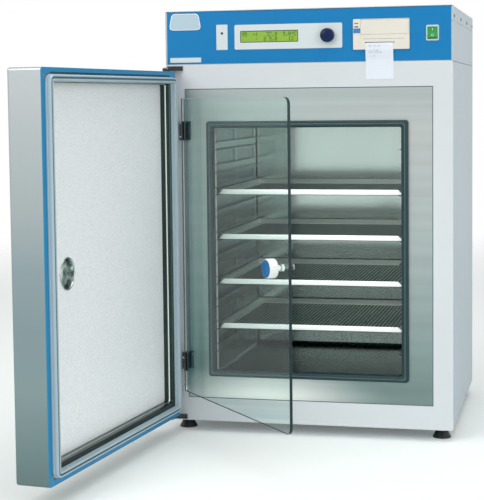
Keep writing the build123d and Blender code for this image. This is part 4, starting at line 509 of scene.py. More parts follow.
SCREEN_FRAME = Finish("moulded_screen_surround", "#1B3A1C", roughness=0.35, grain=0.6)
LAMP_LENS = Finish("moulded_epoxy_lens", "#2A2F4A", roughness=0.1, coat=0.6, grain=1.0)
PAPER = Stripes("thermal_paper_white", "#DEE4ED", roughness=0.62, pitch=3.2, line="#E1E6EF")
PAPER_INK = Finish("thermal_print_grey", "#8E93A6", roughness=0.6, grain=0.6)
FOAM = Finish("mineral_wool_and_foam", "#D8C98E", roughness=0.9, grain=2.5, relief=0.6)
CIRCUIT = Finish("solder_resist_green", "#0F5A32", roughness=0.35, grain=1.4, relief=0.1)
PANEL_ENAMEL = Hammered("stucco_embossed_white_enamel", "#F6F8F9")


@dataclass(frozen=True)
class Swing:
    """Turn of a door from shut to its resting angle, about its upright pin."""

    pin_x: float
    pin_y: float
    angle: float

    def turn(self, points: np.ndarray) -> np.ndarray:
        """Swing points that are drawn with the door shut.

        The offset from the pin is turned clockwise, seen from above, by the angle.

        Args:
            points: Rows of x, y and z in millimetres.

        Returns:
            The same rows at the resting angle.
        """
        c, s = cos(radians(self.angle)), sin(radians(self.angle))
        x, y = points[:, 0] - self.pin_x, points[:, 1] - self.pin_y
        return np.stack((self.pin_x + x * c + y * s, self.pin_y - x * s + y * c, points[:, 2]), axis=1)


DOOR_SWING = Swing(8.5, -28.0, 96.1)
GLASS_SWING = Swing(39.0, -7.5, 49.9)


class Facing(Enum):
    """Where the axis of a turned piece points."""

    FRONT = "front"
    BACK = "back"
    UP = "up"
    RIGHT = "right"
    LEFT = "left"


def oriented(across: np.ndarray, other: np.ndarray, along: np.ndarray, facing: Facing) -> np.ndarray:
    """Lay a turned piece's own directions along the cabinet's.

    Args:
        across: First distance from the axis.
        other: Second distance from the axis.
        along: Distance along the axis.
        facing: Where the axis points.

    Returns:
        Array with x, y and z as its last dimension.
    """
    parts = {
        Facing.FRONT: (across, -along, other),
        Facing.BACK: (across, along, other),
        Facing.UP: (across, other, along),
        Facing.RIGHT: (along, across, other),
        Facing.LEFT: (-along, across, other),
    }
    return np.stack(parts[facing], axis=-1)


def upright(flat: np.ndarray, y: float) -> np.ndarray:
    """Stand a flat outline up at one depth.

    Args:
        flat: Rows of x and z.
        y: The depth.

    Returns:
        Rows of x, y and z.
    """
    return np.stack((flat[:, 0], np.full(len(flat), y), flat[:, 1]), axis=1)


def level(flat: np.ndarray, z: float) -> np.ndarray:
    """Lay a flat outline, in rows of x and y, at one height."""
    return np.column_stack((flat, np.full(len(flat), z)))


def grid_faces(rows: int, columns: int, close_rows: bool, close_columns: bool) -> np.ndarray:
    """Number the corners of each face of a grid of points.

    Args:
        rows: Points in the first direction.
        columns: Points in the second direction.
        close_rows: Whether the last row joins the first.
        close_columns: Whether the last column joins the first.

    Returns:
        One row of four point numbers for each face.
    """
    row = np.arange(rows if close_rows else rows - 1)[:, None]
    column = np.arange(columns if close_columns else columns - 1)[None, :]
    next_row, next_column = (row + 1) % rows, (column + 1) % columns
    here, ahead = row * columns, next_row * columns
    corners = (here + column, here + next_column, ahead + next_column, ahead + column)
    return np.stack(np.broadcast_arrays(*corners), axis=-1).reshape(-1, 4)


def rounded_path(x_span: Pair, z_span: Pair, radius: float, steps: int) -> np.ndarray:
    """Walk round a rectangle with round corners.

    Each corner is a quarter circle about its own centre, and the straight sides join them.

    Args:
        x_span: Lowest and highest x.
        z_span: Lowest and highest z.
        radius: Corner radius.
        steps: Points on each corner.

    Returns:
        Points as rows of x and z.
    """
    turn = np.linspace(0, pi / 2, steps)
    angles = np.concatenate([turn + quarter * pi / 2 for quarter in range(4)])
    outward = np.stack((np.cos(angles), np.sin(angles)), axis=1)
    x_low, x_high = x_span[0] + radius, x_span[1] - radius
    z_low, z_high = z_span[0] + radius, z_span[1] - radius
    centres = np.repeat(((x_high, z_high), (x_low, z_high), (x_low, z_low), (x_high, z_low)), steps, axis=0)
    return centres + outward * radius


@dataclass
class Shape:
    """Surface in millimetres that is built up from grids, and then made one Blender object."""

    points: list = field(default_factory=list)
    faces: list = field(default_factory=list)
    marks: list = field(default_factory=list)
    count: int = 0

    def grid(
        self, points: np.ndarray, close_rows: bool = False, close_columns: bool = False, mark: int = 0,
        caps: tuple[bool, bool] = (False, False),
    ) -> "Shape":
        """Add a grid of points as a surface.

        Args:
            points: Array of rows, columns and x, y, z.
            close_rows: Whether the last row joins the first.
            close_columns: Whether the last column joins the first.
            mark: Number of the finish that the faces take.
            caps: Whether the first and the last row are each closed by one face.

        Returns:
            This shape.
        """
        rows, columns = points.shape[:2]
        quads = (grid_faces(rows, columns, close_rows, close_columns) + self.count).tolist()
        if caps[0]:
            quads.append((np.arange(columns) + self.count).tolist())
        if caps[1]:
            quads.append((np.arange(columns)[::-1] + self.count + (rows - 1) * columns).tolist())
        self.points.append(points.reshape(-1, 3))
        self.faces.extend(quads)
        self.marks.extend([mark] * len(quads))
        self.count += rows * columns
        return self

    def turned(
        self, middle: Triple, outline: list[Pair], facing: Facing, steps: int = 48,
        flutes: int = 0, flute_depth: float = 0.0, mark: int = 0, closed: bool = False,
    ) -> "Shape":
        """Turn an outline about an axis.

        Each outline point goes round a circle of its radius. Flutes take a squared cosine of the
        angle off the outer fifth of the radius, so that the ribs stay broad.

        Args:
            middle: Point on the axis.
            outline: Radius and distance along the axis, from one end to the other.
            facing: Where the axis points.
            steps: Points on each circle.
            flutes: Number of hollows round the circle.
            flute_depth: Depth of the hollows at the outline's largest radius.
            mark: Number of the finish.
            closed: Whether the outline is itself a closed loop.

        Returns:
            This shape.
        """
        profile = np.array(outline, float)
        angle = np.arange(steps) * 2 * pi / steps
        wave = (0.5 - 0.5 * np.cos(angle * flutes)) ** 2 if flutes else np.zeros(steps)
        largest = profile[:, 0].max()
        share = np.clip((profile[:, :1] - 0.8 * largest) / (0.2 * largest), 0, 1)
        radius = profile[:, :1] - flute_depth * wave[None, :] * share
        along = np.broadcast_to(profile[:, 1:], radius.shape)
        ring = oriented(radius * np.cos(angle), radius * np.sin(angle), along, facing)
        return self.grid(ring + np.array(middle), closed, True, mark, (not closed, not closed))

    def banded(
        self, x_span: Pair, z_span: Pair, radius: float,
        profile: list[Pair], steps: int = 8, mark: int = 0, closed: bool = True,
        caps: tuple[bool, bool] = (False, False), spread: float = 1.0,
    ) -> "Shape":
        """Carry a profile round a rectangle with round corners.

        Each ring is the rectangle grown by the profile's first number, at the profile's second
        number in depth. Its corner radius grows by the same amount, times the spread.

        Args:
            x_span: Lowest and highest x of the path.
            z_span: Lowest and highest z of the path.
            radius: Corner radius of the path.
            profile: Outward offset and depth of each point of the profile.
            steps: Points on each corner.
            mark: Number of the finish.
            closed: Whether the profile is a closed loop.
            caps: Whether the first and last rings are each closed by one face.
            spread: Share of the offset by which the corner radius grows.

        Returns:
            This shape.
        """
        rings = []
        for offset, depth in profile:
            grown_x = (x_span[0] - offset, x_span[1] + offset)
            grown_z = (z_span[0] - offset, z_span[1] + offset)
            path = rounded_path(grown_x, grown_z, radius + spread * offset, steps)
            rings.append(upright(path, depth))
        return self.grid(np.stack(rings), closed, True, mark, caps)

    def prism(self, outline: np.ndarray, y_span: Pair, edge: float, mark: int = 0) -> "Shape":
        """Carry a convex outline through the depth, with a small bevel at both ends.

        The outline shrinks towards its middle by the bevel at each end.

        Args:
            outline: Rows of x and z.
            y_span: Front and back.
            edge: Bevel.
            mark: Number of the finish.

        Returns:
            This shape.
        """
        middle = outline.mean(axis=0)
        arms = outline - middle
        length = np.maximum(np.linalg.norm(arms, axis=1, keepdims=True), 1e-6)
        inner = middle + arms * (1 - edge / length)
        front, back = y_span
        rows = ((inner, front), (outline, front + edge), (outline, back - edge), (inner, back))
        return self.grid(np.stack([upright(flat, y) for flat, y in rows]), False, True, mark, (True, True))

    def swung(self, swing: Swing) -> "Shape":
        """Swing everything that was added so far with a door."""
        self.points = [swing.turn(np.concatenate(self.points))]
        return self

    def tilted(self, middle: Pair, angle: float) -> "Shape":
        """Turn everything that was added so far about a line along x.

        Args:
            middle: Depth and height of the line.
            angle: Degrees, positive where the top goes back.

        Returns:
            This shape.
        """
        points = np.concatenate(self.points)
        c, s = cos(radians(angle)), sin(radians(angle))
        y, z = points[:, 1] - middle[0], points[:, 2] - middle[1]
        self.points = [np.stack((points[:, 0], middle[0] + y * c + z * s, middle[1] - y * s + z * c), axis=1)]
        return self

    def piece(
        self, name: str, finishes: tuple[Finish, ...], body: str, slot: str, replaces: tuple[str, ...] = (),
        merge: bool = True,
    ) -> None:
        """Make the Blender object, merge its doubles, point its faces out and hand it to the frame.

        Args:
            name: Name of the object.
            finishes: Finishes in the order of the marks.
            body: Body that the piece moves with.
            slot: Material slot of the record; not used.
            replaces: Nodes that it stands for.
            merge: Whether doubled points are merged.
        """
        mesh = bpy.data.meshes.new(name)
        points = (np.concatenate(self.points) + CORNER) * MM
        mesh.from_pydata(points.tolist(), [], self.faces)
        for finish in finishes:
            mesh.materials.append(finish.material())
        mesh.polygons.foreach_set("material_index", np.array(self.marks, np.int32))
        if merge:
            work = bmesh.new()
            work.from_mesh(mesh)
            bmesh.ops.remove_doubles(work, verts=work.verts, dist=DOUBLES * MM)
            bmesh.ops.recalc_face_normals(work, faces=work.faces)
            work.to_mesh(mesh)
            work.free()
        mesh.polygons.foreach_set("use_smooth", np.ones(len(mesh.polygons), bool))
        mesh.set_sharp_from_angle(angle=SHARP_ANGLE)
        mesh.update()
        thing = bpy.data.objects.new(name, mesh)
        bpy.context.scene.collection.objects.link(thing)
        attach(thing, body)
        if replaces:
            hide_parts(*replaces)
        LOG.info("%s: %d faces on %s", name, len(mesh.polygons), body)


def dress(finish: Finish, *nodes: str) -> None:
    """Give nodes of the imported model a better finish.

    Args:
        finish: The finish.
        *nodes: Names of the nodes.
    """
    for node in nodes:
        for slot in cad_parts[node].material_slots:
            slot.material = finish.material()
        LOG.info("%s: dressed as %s", node, finish.title)


# Rows of each figure from its top, with a bit for each dot that is dark; "d" stands for a degree sign
GLYPHS = {
    "0": (14, 17, 19, 21, 25, 17, 14), "1": (4, 12, 4, 4, 4, 4, 14), "2": (14, 17, 1, 2, 4, 8, 31),
    "3": (31, 2, 4, 2, 1, 17, 14), "5": (31, 16, 30, 1, 1, 17, 14), "7": (31, 1, 2, 4, 8, 8, 8),
    "8": (14, 17, 17, 14, 17, 17, 14), "9": (14, 17, 17, 15, 1, 2, 12), ".": (0, 0, 0, 0, 0, 12, 12),
    ":": (0, 12, 12, 0, 12, 12, 0), "C": (14, 17, 16, 16, 16, 17, 14), "d": (6, 9, 9, 6, 0, 0, 0),
    "-": (0, 0, 0, 31, 0, 0, 0),
}


def dot_cells(line: str) -> np.ndarray:
    """Find the dark dots of a line of generic figures in a five by seven matrix.

    Args:
        line: Figures, with a blank for an empty place.

    Returns:
        Rows of column and row of each dot, counted from the upper left.
    """
    dots = [
        (place * 6 + column, row)
        for place, sign in enumerate(line)
        for row, bits in enumerate(GLYPHS.get(sign, ()))
        for column in range(5)
        if bits >> (4 - column) & 1
    ]
    return np.array(dots, float)


def dot_shape(
    lines: list[str], left_top: Pair, pitch: Pair, lead: float, y: float,
    proud: float, fill: float = 0.86,
) -> Shape:
    """Lay out dots as small raised blocks that face the front.

    Args:
        lines: Lines of figures.
        left_top: x and z of the first dot's upper left corner.
        pitch: Width and height of one dot with its gap.
        lead: Height from one line to the next.
        y: Depth of the surface that they lie on.
        proud: Height of the dots.
        fill: Share of the pitch that a dot covers.

    Returns:
        The shape.
    """
    shape = Shape()
    corner_x = np.array((0, 1, 1, 0)) * fill * pitch[0]
    corner_z = -np.array((0, 0, 1, 1)) * fill * pitch[1]
    for index, line in enumerate(lines):
        for column, row in dot_cells(line):
            x = left_top[0] + column * pitch[0] + corner_x
            z = left_top[1] - index * lead - row * pitch[1] + corner_z
            flat = np.stack((x, z), axis=1)
            shape.grid(np.stack((upright(flat, y), upright(flat, y - proud))), False, True, 0, (True, True))
    return shape


@dataclass
class Casing:
    """Painted cabinet, its stainless face plate, its screws and its feet."""

    screw_height: float = 869.0
    screw_depths: tuple[float, ...] = (25.0, 183.333, 341.667, 500.0)
    screw_radius: float = 3.6
    screw_head: float = 1.6
    feet_x: tuple[tuple[str, float], ...] = (("left", 27.0), ("right", 573.0))
    feet_y: tuple[tuple[str, float], ...] = (("front", 45.0), ("rear", 465.0))
    nut_half: float = 9.25
    thread_pitch: float = 0.85
    bumper: Pair = (34.0, 92.5)
    window_x: Pair = (40.0, 560.0)
    window_z: Pair = (73.0, 728.0)

    def build(self) -> None:
        """Dress the sheets and build the small pieces."""
        dress(PALE_COAT, "front_frame")
        dress(SIDE_SHADE_COAT, "cabinet_shell", "rear_cover", "control_chassis", "top_lid")
        dress(INSERT_PAINTED_LIGHT_STEEL, "face_insert")
        dress(FOAM, "insulation_jacket")
        dress(BLACK_COAT, "hinge_brackets")
        dress(TURNED_STEEL, "hinge_pins")
        dress(RACK_SHADE_STEEL, "glass_hinge_plates")
        self.screws()
        self.bead()
        self.cone()
        for depth, y in self.feet_y:
            for side, x in self.feet_x:
                self.foot(f"{depth}_{side}", (x, y))

    def screws(self) -> None:
        """Pan heads along both flanges of the lid: a low dome with a round socket."""
        shape = Shape()
        r, h = self.screw_radius, self.screw_head
        dome = [
            (r, 0.0), (r, 0.4), (r * 0.92, h * 0.62), (r * 0.7, h * 0.9), (r * 0.42, h), (r * 0.34, h * 0.55),
            (r * 0.12, h * 0.35),
        ]
        for y in self.screw_depths:
            shape.turned((CABINET_WIDTH, y, self.screw_height), dome, Facing.RIGHT, 28)
            shape.turned((0.0, y, self.screw_height), dome, Facing.LEFT, 28)
        shape.piece("casing_screw_heads", (SCREW_STEEL,), "cabinet", "zinc", ("casing_screws",))

    def bead(self) -> None:
        """Dark grey bead where the stainless plate meets the painted frame: a low hollow fillet."""
        profile = [(-0.05, 0.42), (-0.1, 0.06), (-0.9, 0.1), (-1.9, 0.38), (-1.9, 0.42)]
        shape = Shape().banded(self.window_x, self.window_z, 0.6, profile, 4, spread=0.2)
        shape.piece("window_joint_dark_bead", (WINDOW_JOINT_DARK,), "cabinet", "seal_dark")

    def cone(self) -> None:
        """White bumper cone on the frame beside the glass door."""
        outline = [(6.0, 0.0), (6.0, 1.0), (5.7, 1.6), (3.4, 7.4), (2.6, 8.6), (1.2, 9.0)]
        shape = Shape().turned((self.bumper[0], 0.0, self.bumper[1]), outline, Facing.FRONT, 40)
        shape.piece("frame_bumper_cone", (WHITE_PLASTIC,), "cabinet", "white_plastic", ("frame_bumper",))

    def foot(self, name: str, place: Pair) -> None:
        """One levelling foot: ribbed rubber pad, chamfered hexagon and a threaded stud.

        Args:
            name: Corner of the cabinet.
            place: x and y of its middle.
        """
        middle = (*place, 0.0)
        pad = [
            (17.2, 0.0), (18.6, 0.3), (19.0, 1.6), (18.2, 4.0), (17.6, 4.4), (17.2, 5.2), (14.6, 10.6),
            (12.9, 13.4), (12.0, 14.0),
        ]
        shape = Shape().turned(middle, pad, Facing.UP, 64)
        angles = np.arange(6) * pi / 3 + pi / 6
        hexagon = self.nut_half / cos(pi / 6) * np.stack((np.cos(angles), np.sin(angles)), axis=1)
        chamfers = ((0.93, 13.9), (1.0, 14.8), (1.0, 22.8), (0.93, 23.7))
        rows = [level(np.array(place) + hexagon * share, z) for share, z in chamfers]
        shape.grid(np.stack(rows), False, True, 1, (True, True))
        thread = [(5.0 if turn % 2 else 4.5, 23.6 + self.thread_pitch * turn) for turn in range(15)]
        shape.turned(middle, thread, Facing.UP, 32, mark=1)
        node = f"foot_{name}"
        shape.piece(f"levelling_{node}", (FOOT_RUBBER, ZINC), f"{node}_screw", "foot_rubber", (node,))


@dataclass
class Chamber:
    """Stainless chamber with its seal, racks, duct, shelves and fan."""

    mouth_x: Pair = (104.0, 496.0)
    mouth_z: Pair = (135.0, 646.0)
    mouth_corner: float = 4.0
    seal_corner: float = 5.6
    seal_band: float = 14.0
    shelf_levels: tuple[float, ...] = (219.5, 314.7, 409.9, 505.1)
    shelf_x: Pair = (105.0, 495.0)
    shelf_y: Pair = (30.0, 420.0)
    shelf_lip: float = 11.5
    shelf_rim: float = 12.0
    sheet: float = 1.0
    rack_front: float = 20.0
    rack_faces: tuple[tuple[str, float, float], ...] = (("left", 98.3, 1.0), ("right", 501.7, -1.0))
    upright_width: float = 22.0
    hole_pitch: float = 8.0
    hole_size: float = 6.3

    def build(self) -> None:
        """Dress the sheet metal and build the seal and the shelves."""
        dress(LINER_SHADE_STEEL, "chamber_liner")
        dress(DUCT_STEEL, "duct_cover")
        dress(RACK_SHADE_STEEL, "left_rack", "right_rack")
        dress(SHEATH, "air_heater")
        dress(CAST_ALLOY, "fan_motor", "fan_impeller")
        dress(TURNED_STEEL, "chamber_sensors")
        self.seal()
        for side, wall, inward in self.rack_faces:
            self.rack_bead(side, wall, inward)
        for index, height in enumerate(self.shelf_levels, 1):
            self.shelf(index, height)

    def rack_bead(self, side: str, wall: float, inward: float) -> None:
        """Bead down the front upright of a rack: a low arc that stands off the upright, coloured near white
        as a painted highlight.

        Args:
            side: Side of the chamber.
            wall: Inner face of the upright.
            inward: Direction into the chamber, one or minus one.
        """
        turn = np.linspace(0, pi, 15)
        y = self.rack_front + self.upright_width / 2 * (1 - np.cos(turn))
        x = wall + inward * (0.05 + 2.4 * np.sin(turn))
        z = np.array((118.4, 119.6, 661.4, 662.6))
        inset = np.array((0.6, 1.0, 1.0, 0.6))
        across = wall + (x - wall)[None, :] * inset[:, None]
        rows = np.stack(np.broadcast_arrays(across, y[None, :], z[:, None]), axis=-1)
        shape = Shape().grid(rows, False, True, 0, (True, True))
        shape.piece(f"rack_bead_{side}", (RACK_EDGE_HIGHLIGHT,), "cabinet", "stainless_polished")

    def seal(self) -> None:
        """Seal round the mouth: two round lips with a paler bead between them."""
        lip = [(0.0, 0.4), (0.0, -6.0), (0.6, -9.6), (2.0, -11.3), (3.6, -11.7), (5.0, -11.1), (5.6, -9.8)]
        bead = [(5.6, -9.8), (6.2, -10.8), (7.2, -11.2), (8.2, -10.8), (8.8, -9.8)]
        outer = [
            (8.8, -9.8), (9.4, -10.7), (10.8, -11.0), (12.6, -9.9), (13.7, -7.4), (14.0, -4.4), (14.0, 0.4),
        ]
        back = [(14.0, 0.4), (2.2, 0.4), (2.2, 4.0), (0.0, 4.0), (0.0, 0.4)]
        spread = (self.seal_corner - self.mouth_corner) / self.seal_band
        shape = Shape()
        for profile, mark in ((lip, 0), (bead, 1), (outer, 0), (back, 0)):
            shape.banded(
                self.mouth_x, self.mouth_z, self.mouth_corner, profile, 12, mark, False, spread=spread
            )
        finishes = (CHAMBER_RUBBER, CHAMBER_BEAD)
        shape.piece("chamber_seal_moulding", finishes, "cabinet", "seal_dark", ("chamber_seal",))

    def shelf(self, index: int, height: float) -> None:
        """One shelf: a sheet with rows of square holes, a mitred front lip and turned-up edges.

        The sheet is a lattice of points two to a hole along each way, and the cells between the
        two points of a hole both ways are left out. The walls of the holes join both sides.

        Args:
            index: Number of the shelf, from the bottom.
            height: Height of its upper side.
        """
        x = self.stations(*self.shelf_x)
        y = self.stations(*self.shelf_y)
        rows, columns = len(y), len(x)
        hole_x = np.arange(columns - 1) % 2 == 1
        hole_y = np.arange(rows - 1) % 2 == 1
        solid = ~(hole_y[:, None] & hole_x[None, :])
        faces = grid_faces(rows, columns, False, False).reshape(rows - 1, columns - 1, 4)
        plane = np.stack(np.broadcast_arrays(x[None, :], y[:, None]), axis=-1).reshape(-1, 2)
        points = np.concatenate((level(plane, height), level(plane, height - self.sheet)))
        shift = len(plane)
        upper = faces[solid]
        holes = faces[~solid]
        sides = ((1, 0), (2, 1), (3, 2), (0, 3))
        walls = [
            np.stack((holes[:, a], holes[:, b], holes[:, b] + shift, holes[:, a] + shift), axis=1)
            for a, b in sides
        ]
        plain = np.concatenate((upper, upper[:, ::-1] + shift, self.border(rows, columns, shift)))
        every = np.concatenate((plain, *walls))
        # The hole walls take the dark finish, painted shade inside the holes.
        marks = [0] * len(plain) + [2] * (len(every) - len(plain))
        shape = Shape([points], every.tolist(), marks, 2 * shift)
        self.edges(shape, height)
        shape.piece(
            f"perforated_shelf_{index}", (SHELF_STEEL, LIP_STEEL, SHELF_HOLE_SHADE), f"shelf_{index}_tray",
            "stainless_polished", (f"shelf_{index}",), merge=False,
        )

    def stations(self, low: float, high: float) -> np.ndarray:
        """Lines of the lattice along one way: the rim, then both sides of every hole, then the rim.

        Args:
            low: Start of the sheet.
            high: End of the sheet.

        Returns:
            Positions in rising order, an even number of them.
        """
        count = int((high - low - 2 * self.shelf_rim) // self.hole_pitch)
        first = (low + high) / 2 - (count - 1) * self.hole_pitch / 2
        middles = first + np.arange(count) * self.hole_pitch
        sides = np.stack((middles - self.hole_size / 2, middles + self.hole_size / 2), axis=1).ravel()
        return np.concatenate(((low,), sides, (high,)))

    def border(self, rows: int, columns: int, shift: int) -> np.ndarray:
        """Faces round the outside of the sheet, between its upper and its lower side.

        Args:
            rows: Lattice points in depth.
            columns: Lattice points across.
            shift: Number of points on one side.

        Returns:
            One row of four point numbers for each face.
        """
        front = np.arange(columns)
        right = np.arange(rows) * columns + columns - 1
        back = (rows - 1) * columns + np.arange(columns)[::-1]
        left = (np.arange(rows) * columns)[::-1]
        loop = np.concatenate((front[:-1], right[:-1], back[:-1], left[:-1]))
        ahead = np.roll(loop, -1)
        return np.stack((ahead, loop, loop + shift, ahead + shift), axis=1)

    def edges(self, shape: Shape, height: float) -> None:
        """Add the mitred front lip, with a rolled top, and the three other turned-up edges.

        Args:
            shape: Shape of the shelf.
            height: Height of the sheet's upper side.
        """
        low = height - self.sheet
        top = low + self.shelf_lip
        x_low, x_high = self.shelf_x
        y_low, y_high = self.shelf_y
        outline = [
            (0.0, low), (0.0, top - 0.5), (0.15, top - 0.15), (0.5, top), (0.85, top - 0.15),
            (1.0, top - 0.5), (1.0, height),
        ]
        rows = []
        for inward, z in outline:
            mitre = max(z - height, 0.0)
            y = y_low + inward
            rows.append(((x_low + mitre, y, z), (x_high - mitre, y, z)))
        points = np.array(rows)
        steps = np.linspace(0, 1, 9)[None, :, None]
        shape.grid(points[:, :1] + (points[:, 1:] - points[:, :1]) * steps, False, False, 1)
        start = y_low + self.shelf_lip
        outer, inner = (
            np.array(((left, start), (left, back), (right, back), (right, start)))
            for left, right, back in (
                (x_low, x_high, y_high), (x_low + self.sheet, x_high - self.sheet, y_high - self.sheet)
            )
        )
        rows = (level(outer, low), level(outer, top), level(inner, top), level(inner, height))
        shape.grid(np.stack(rows))


@dataclass
class OuterDoor:
    """Solid outer door: stainless pan, blue rim, folded seal, recess, hammered panel and cup."""

    x: Pair = (1.0, 599.0)
    z: Pair = (38.0, 764.0)
    inner_face: float = -11.5
    panel_face: float = -32.3
    seal_track: float = 12.0
    seal_width: float = 13.0
    recess_x: Pair = (32.0, 568.0)
    recess_z: Pair = (72.5, 737.5)
    recess_corner: float = 6.0
    cup: Pair = (475.5, 396.0)

    def build(self) -> None:
        """Dress the pan and the panel and build the seal, the recess wall and the cup."""
        dress(DOOR_REFLECTION_STEEL, "door_shell")
        dress(RIM_COAT, "door_rim")
        dress(PANEL_ENAMEL, "door_panel")
        dress(FOAM, "door_insulation")
        dress(BLACK_PLASTIC, "door_grip", "door_bushes")
        self.seal()
        self.recess()
        self.knob_cup()

    def seal(self) -> None:
        """Magnetic seal: a low foot, two round lips and a fold between them, mitred at the corners."""
        inset = self.seal_track + self.seal_width
        x_span = (self.x[0] + inset, self.x[1] - inset)
        z_span = (self.z[0] + inset, self.z[1] - inset)
        base = self.inner_face
        inner = [
            (0.0, base), (0.0, base + 2.0), (1.0, base + 3.0), (0.9, base + 6.5), (1.2, base + 9.6),
            (2.4, base + 11.0), (4.2, base + 11.2), (5.2, base + 10.2),
        ]
        fold = [(5.2, base + 10.2), (5.9, base + 7.4), (7.6, base + 7.0), (8.4, base + 9.6)]
        outer = [
            (8.4, base + 9.6), (9.2, base + 10.6), (10.8, base + 10.9), (11.9, base + 9.4),
            (12.1, base + 6.5), (12.0, base + 3.0), (13.0, base + 2.0), (13.0, base),
        ]
        shape = Shape()
        for profile, mark in ((inner, 0), (fold, 1), (outer, 0)):
            shape.banded(x_span, z_span, 0.6, profile, 4, mark, False)
        finishes = (DOOR_RUBBER, DOOR_GROOVE)
        shape.swung(DOOR_SWING).piece(
            "door_seal_bellows", finishes, "outer_door", "seal_grey", ("door_seal",)
        )

    def recess(self) -> None:
        """Inner pan: a flange under the seal, a wall in painted shade with a bead in painted highlight, and a
        ledge for the panel.
        """
        x_span, z_span = self.recess_x, self.recess_z
        face, floor = self.inner_face, self.panel_face - 1.2
        flange = [(18.7, face - 1.2), (18.7, face), (1.6, face), (0.6, face - 0.3), (0.1, face - 1.2)]
        upper = [(0.1, face - 1.2), (0.0, face - 8.6)]
        bead = [
            (0.0, face - 8.6), (-0.7, face - 9.2), (-1.0, face - 10.2), (-0.7, face - 11.2),
            (0.0, face - 11.8),
        ]
        lower = [
            (0.0, face - 11.8), (0.0, floor), (-14.0, floor), (-14.0, floor - 1.2), (1.2, floor - 1.2),
            (1.2, face - 1.2), (18.7, face - 1.2),
        ]
        shape = Shape()
        for profile, mark in ((flange, 0), (upper, 1), (bead, 2), (lower, 1)):
            shape.banded(x_span, z_span, self.recess_corner, profile, 8, mark, False)
        finishes = (LINER_SHADE_STEEL, RECESS_SHADE_STEEL, BEAD_HIGHLIGHT_STEEL)
        shape.swung(DOOR_SWING).piece(
            "door_recess_pan", finishes, "outer_door", "stainless_polished", ("door_liner",)
        )

    def knob_cup(self) -> None:
        """Spun cup with a rolled rim; its outline is the cup's section from outside to inside."""
        roll = [(28.6 + 1.5 * cos(a), 0.5 + 1.3 * sin(a)) for a in np.linspace(-0.5, pi - 0.1, 10)]
        outside = [(22.0, -26.2), (27.2, -21.0), (27.2, -0.6)]
        inside = [(26.0, -2.0), (26.0, -18.5), (25.2, -21.6), (23.2, -24.2), (20.0, -25.0)]
        middle = (self.cup[0], self.panel_face, self.cup[1])
        shape = Shape().turned(middle, outside + roll + inside, Facing.BACK, 72)
        shape.swung(DOOR_SWING).piece(
            "knob_cup_spun", (CUP_STEEL,), "outer_door", "stainless_polished", ("knob_cup",)
        )


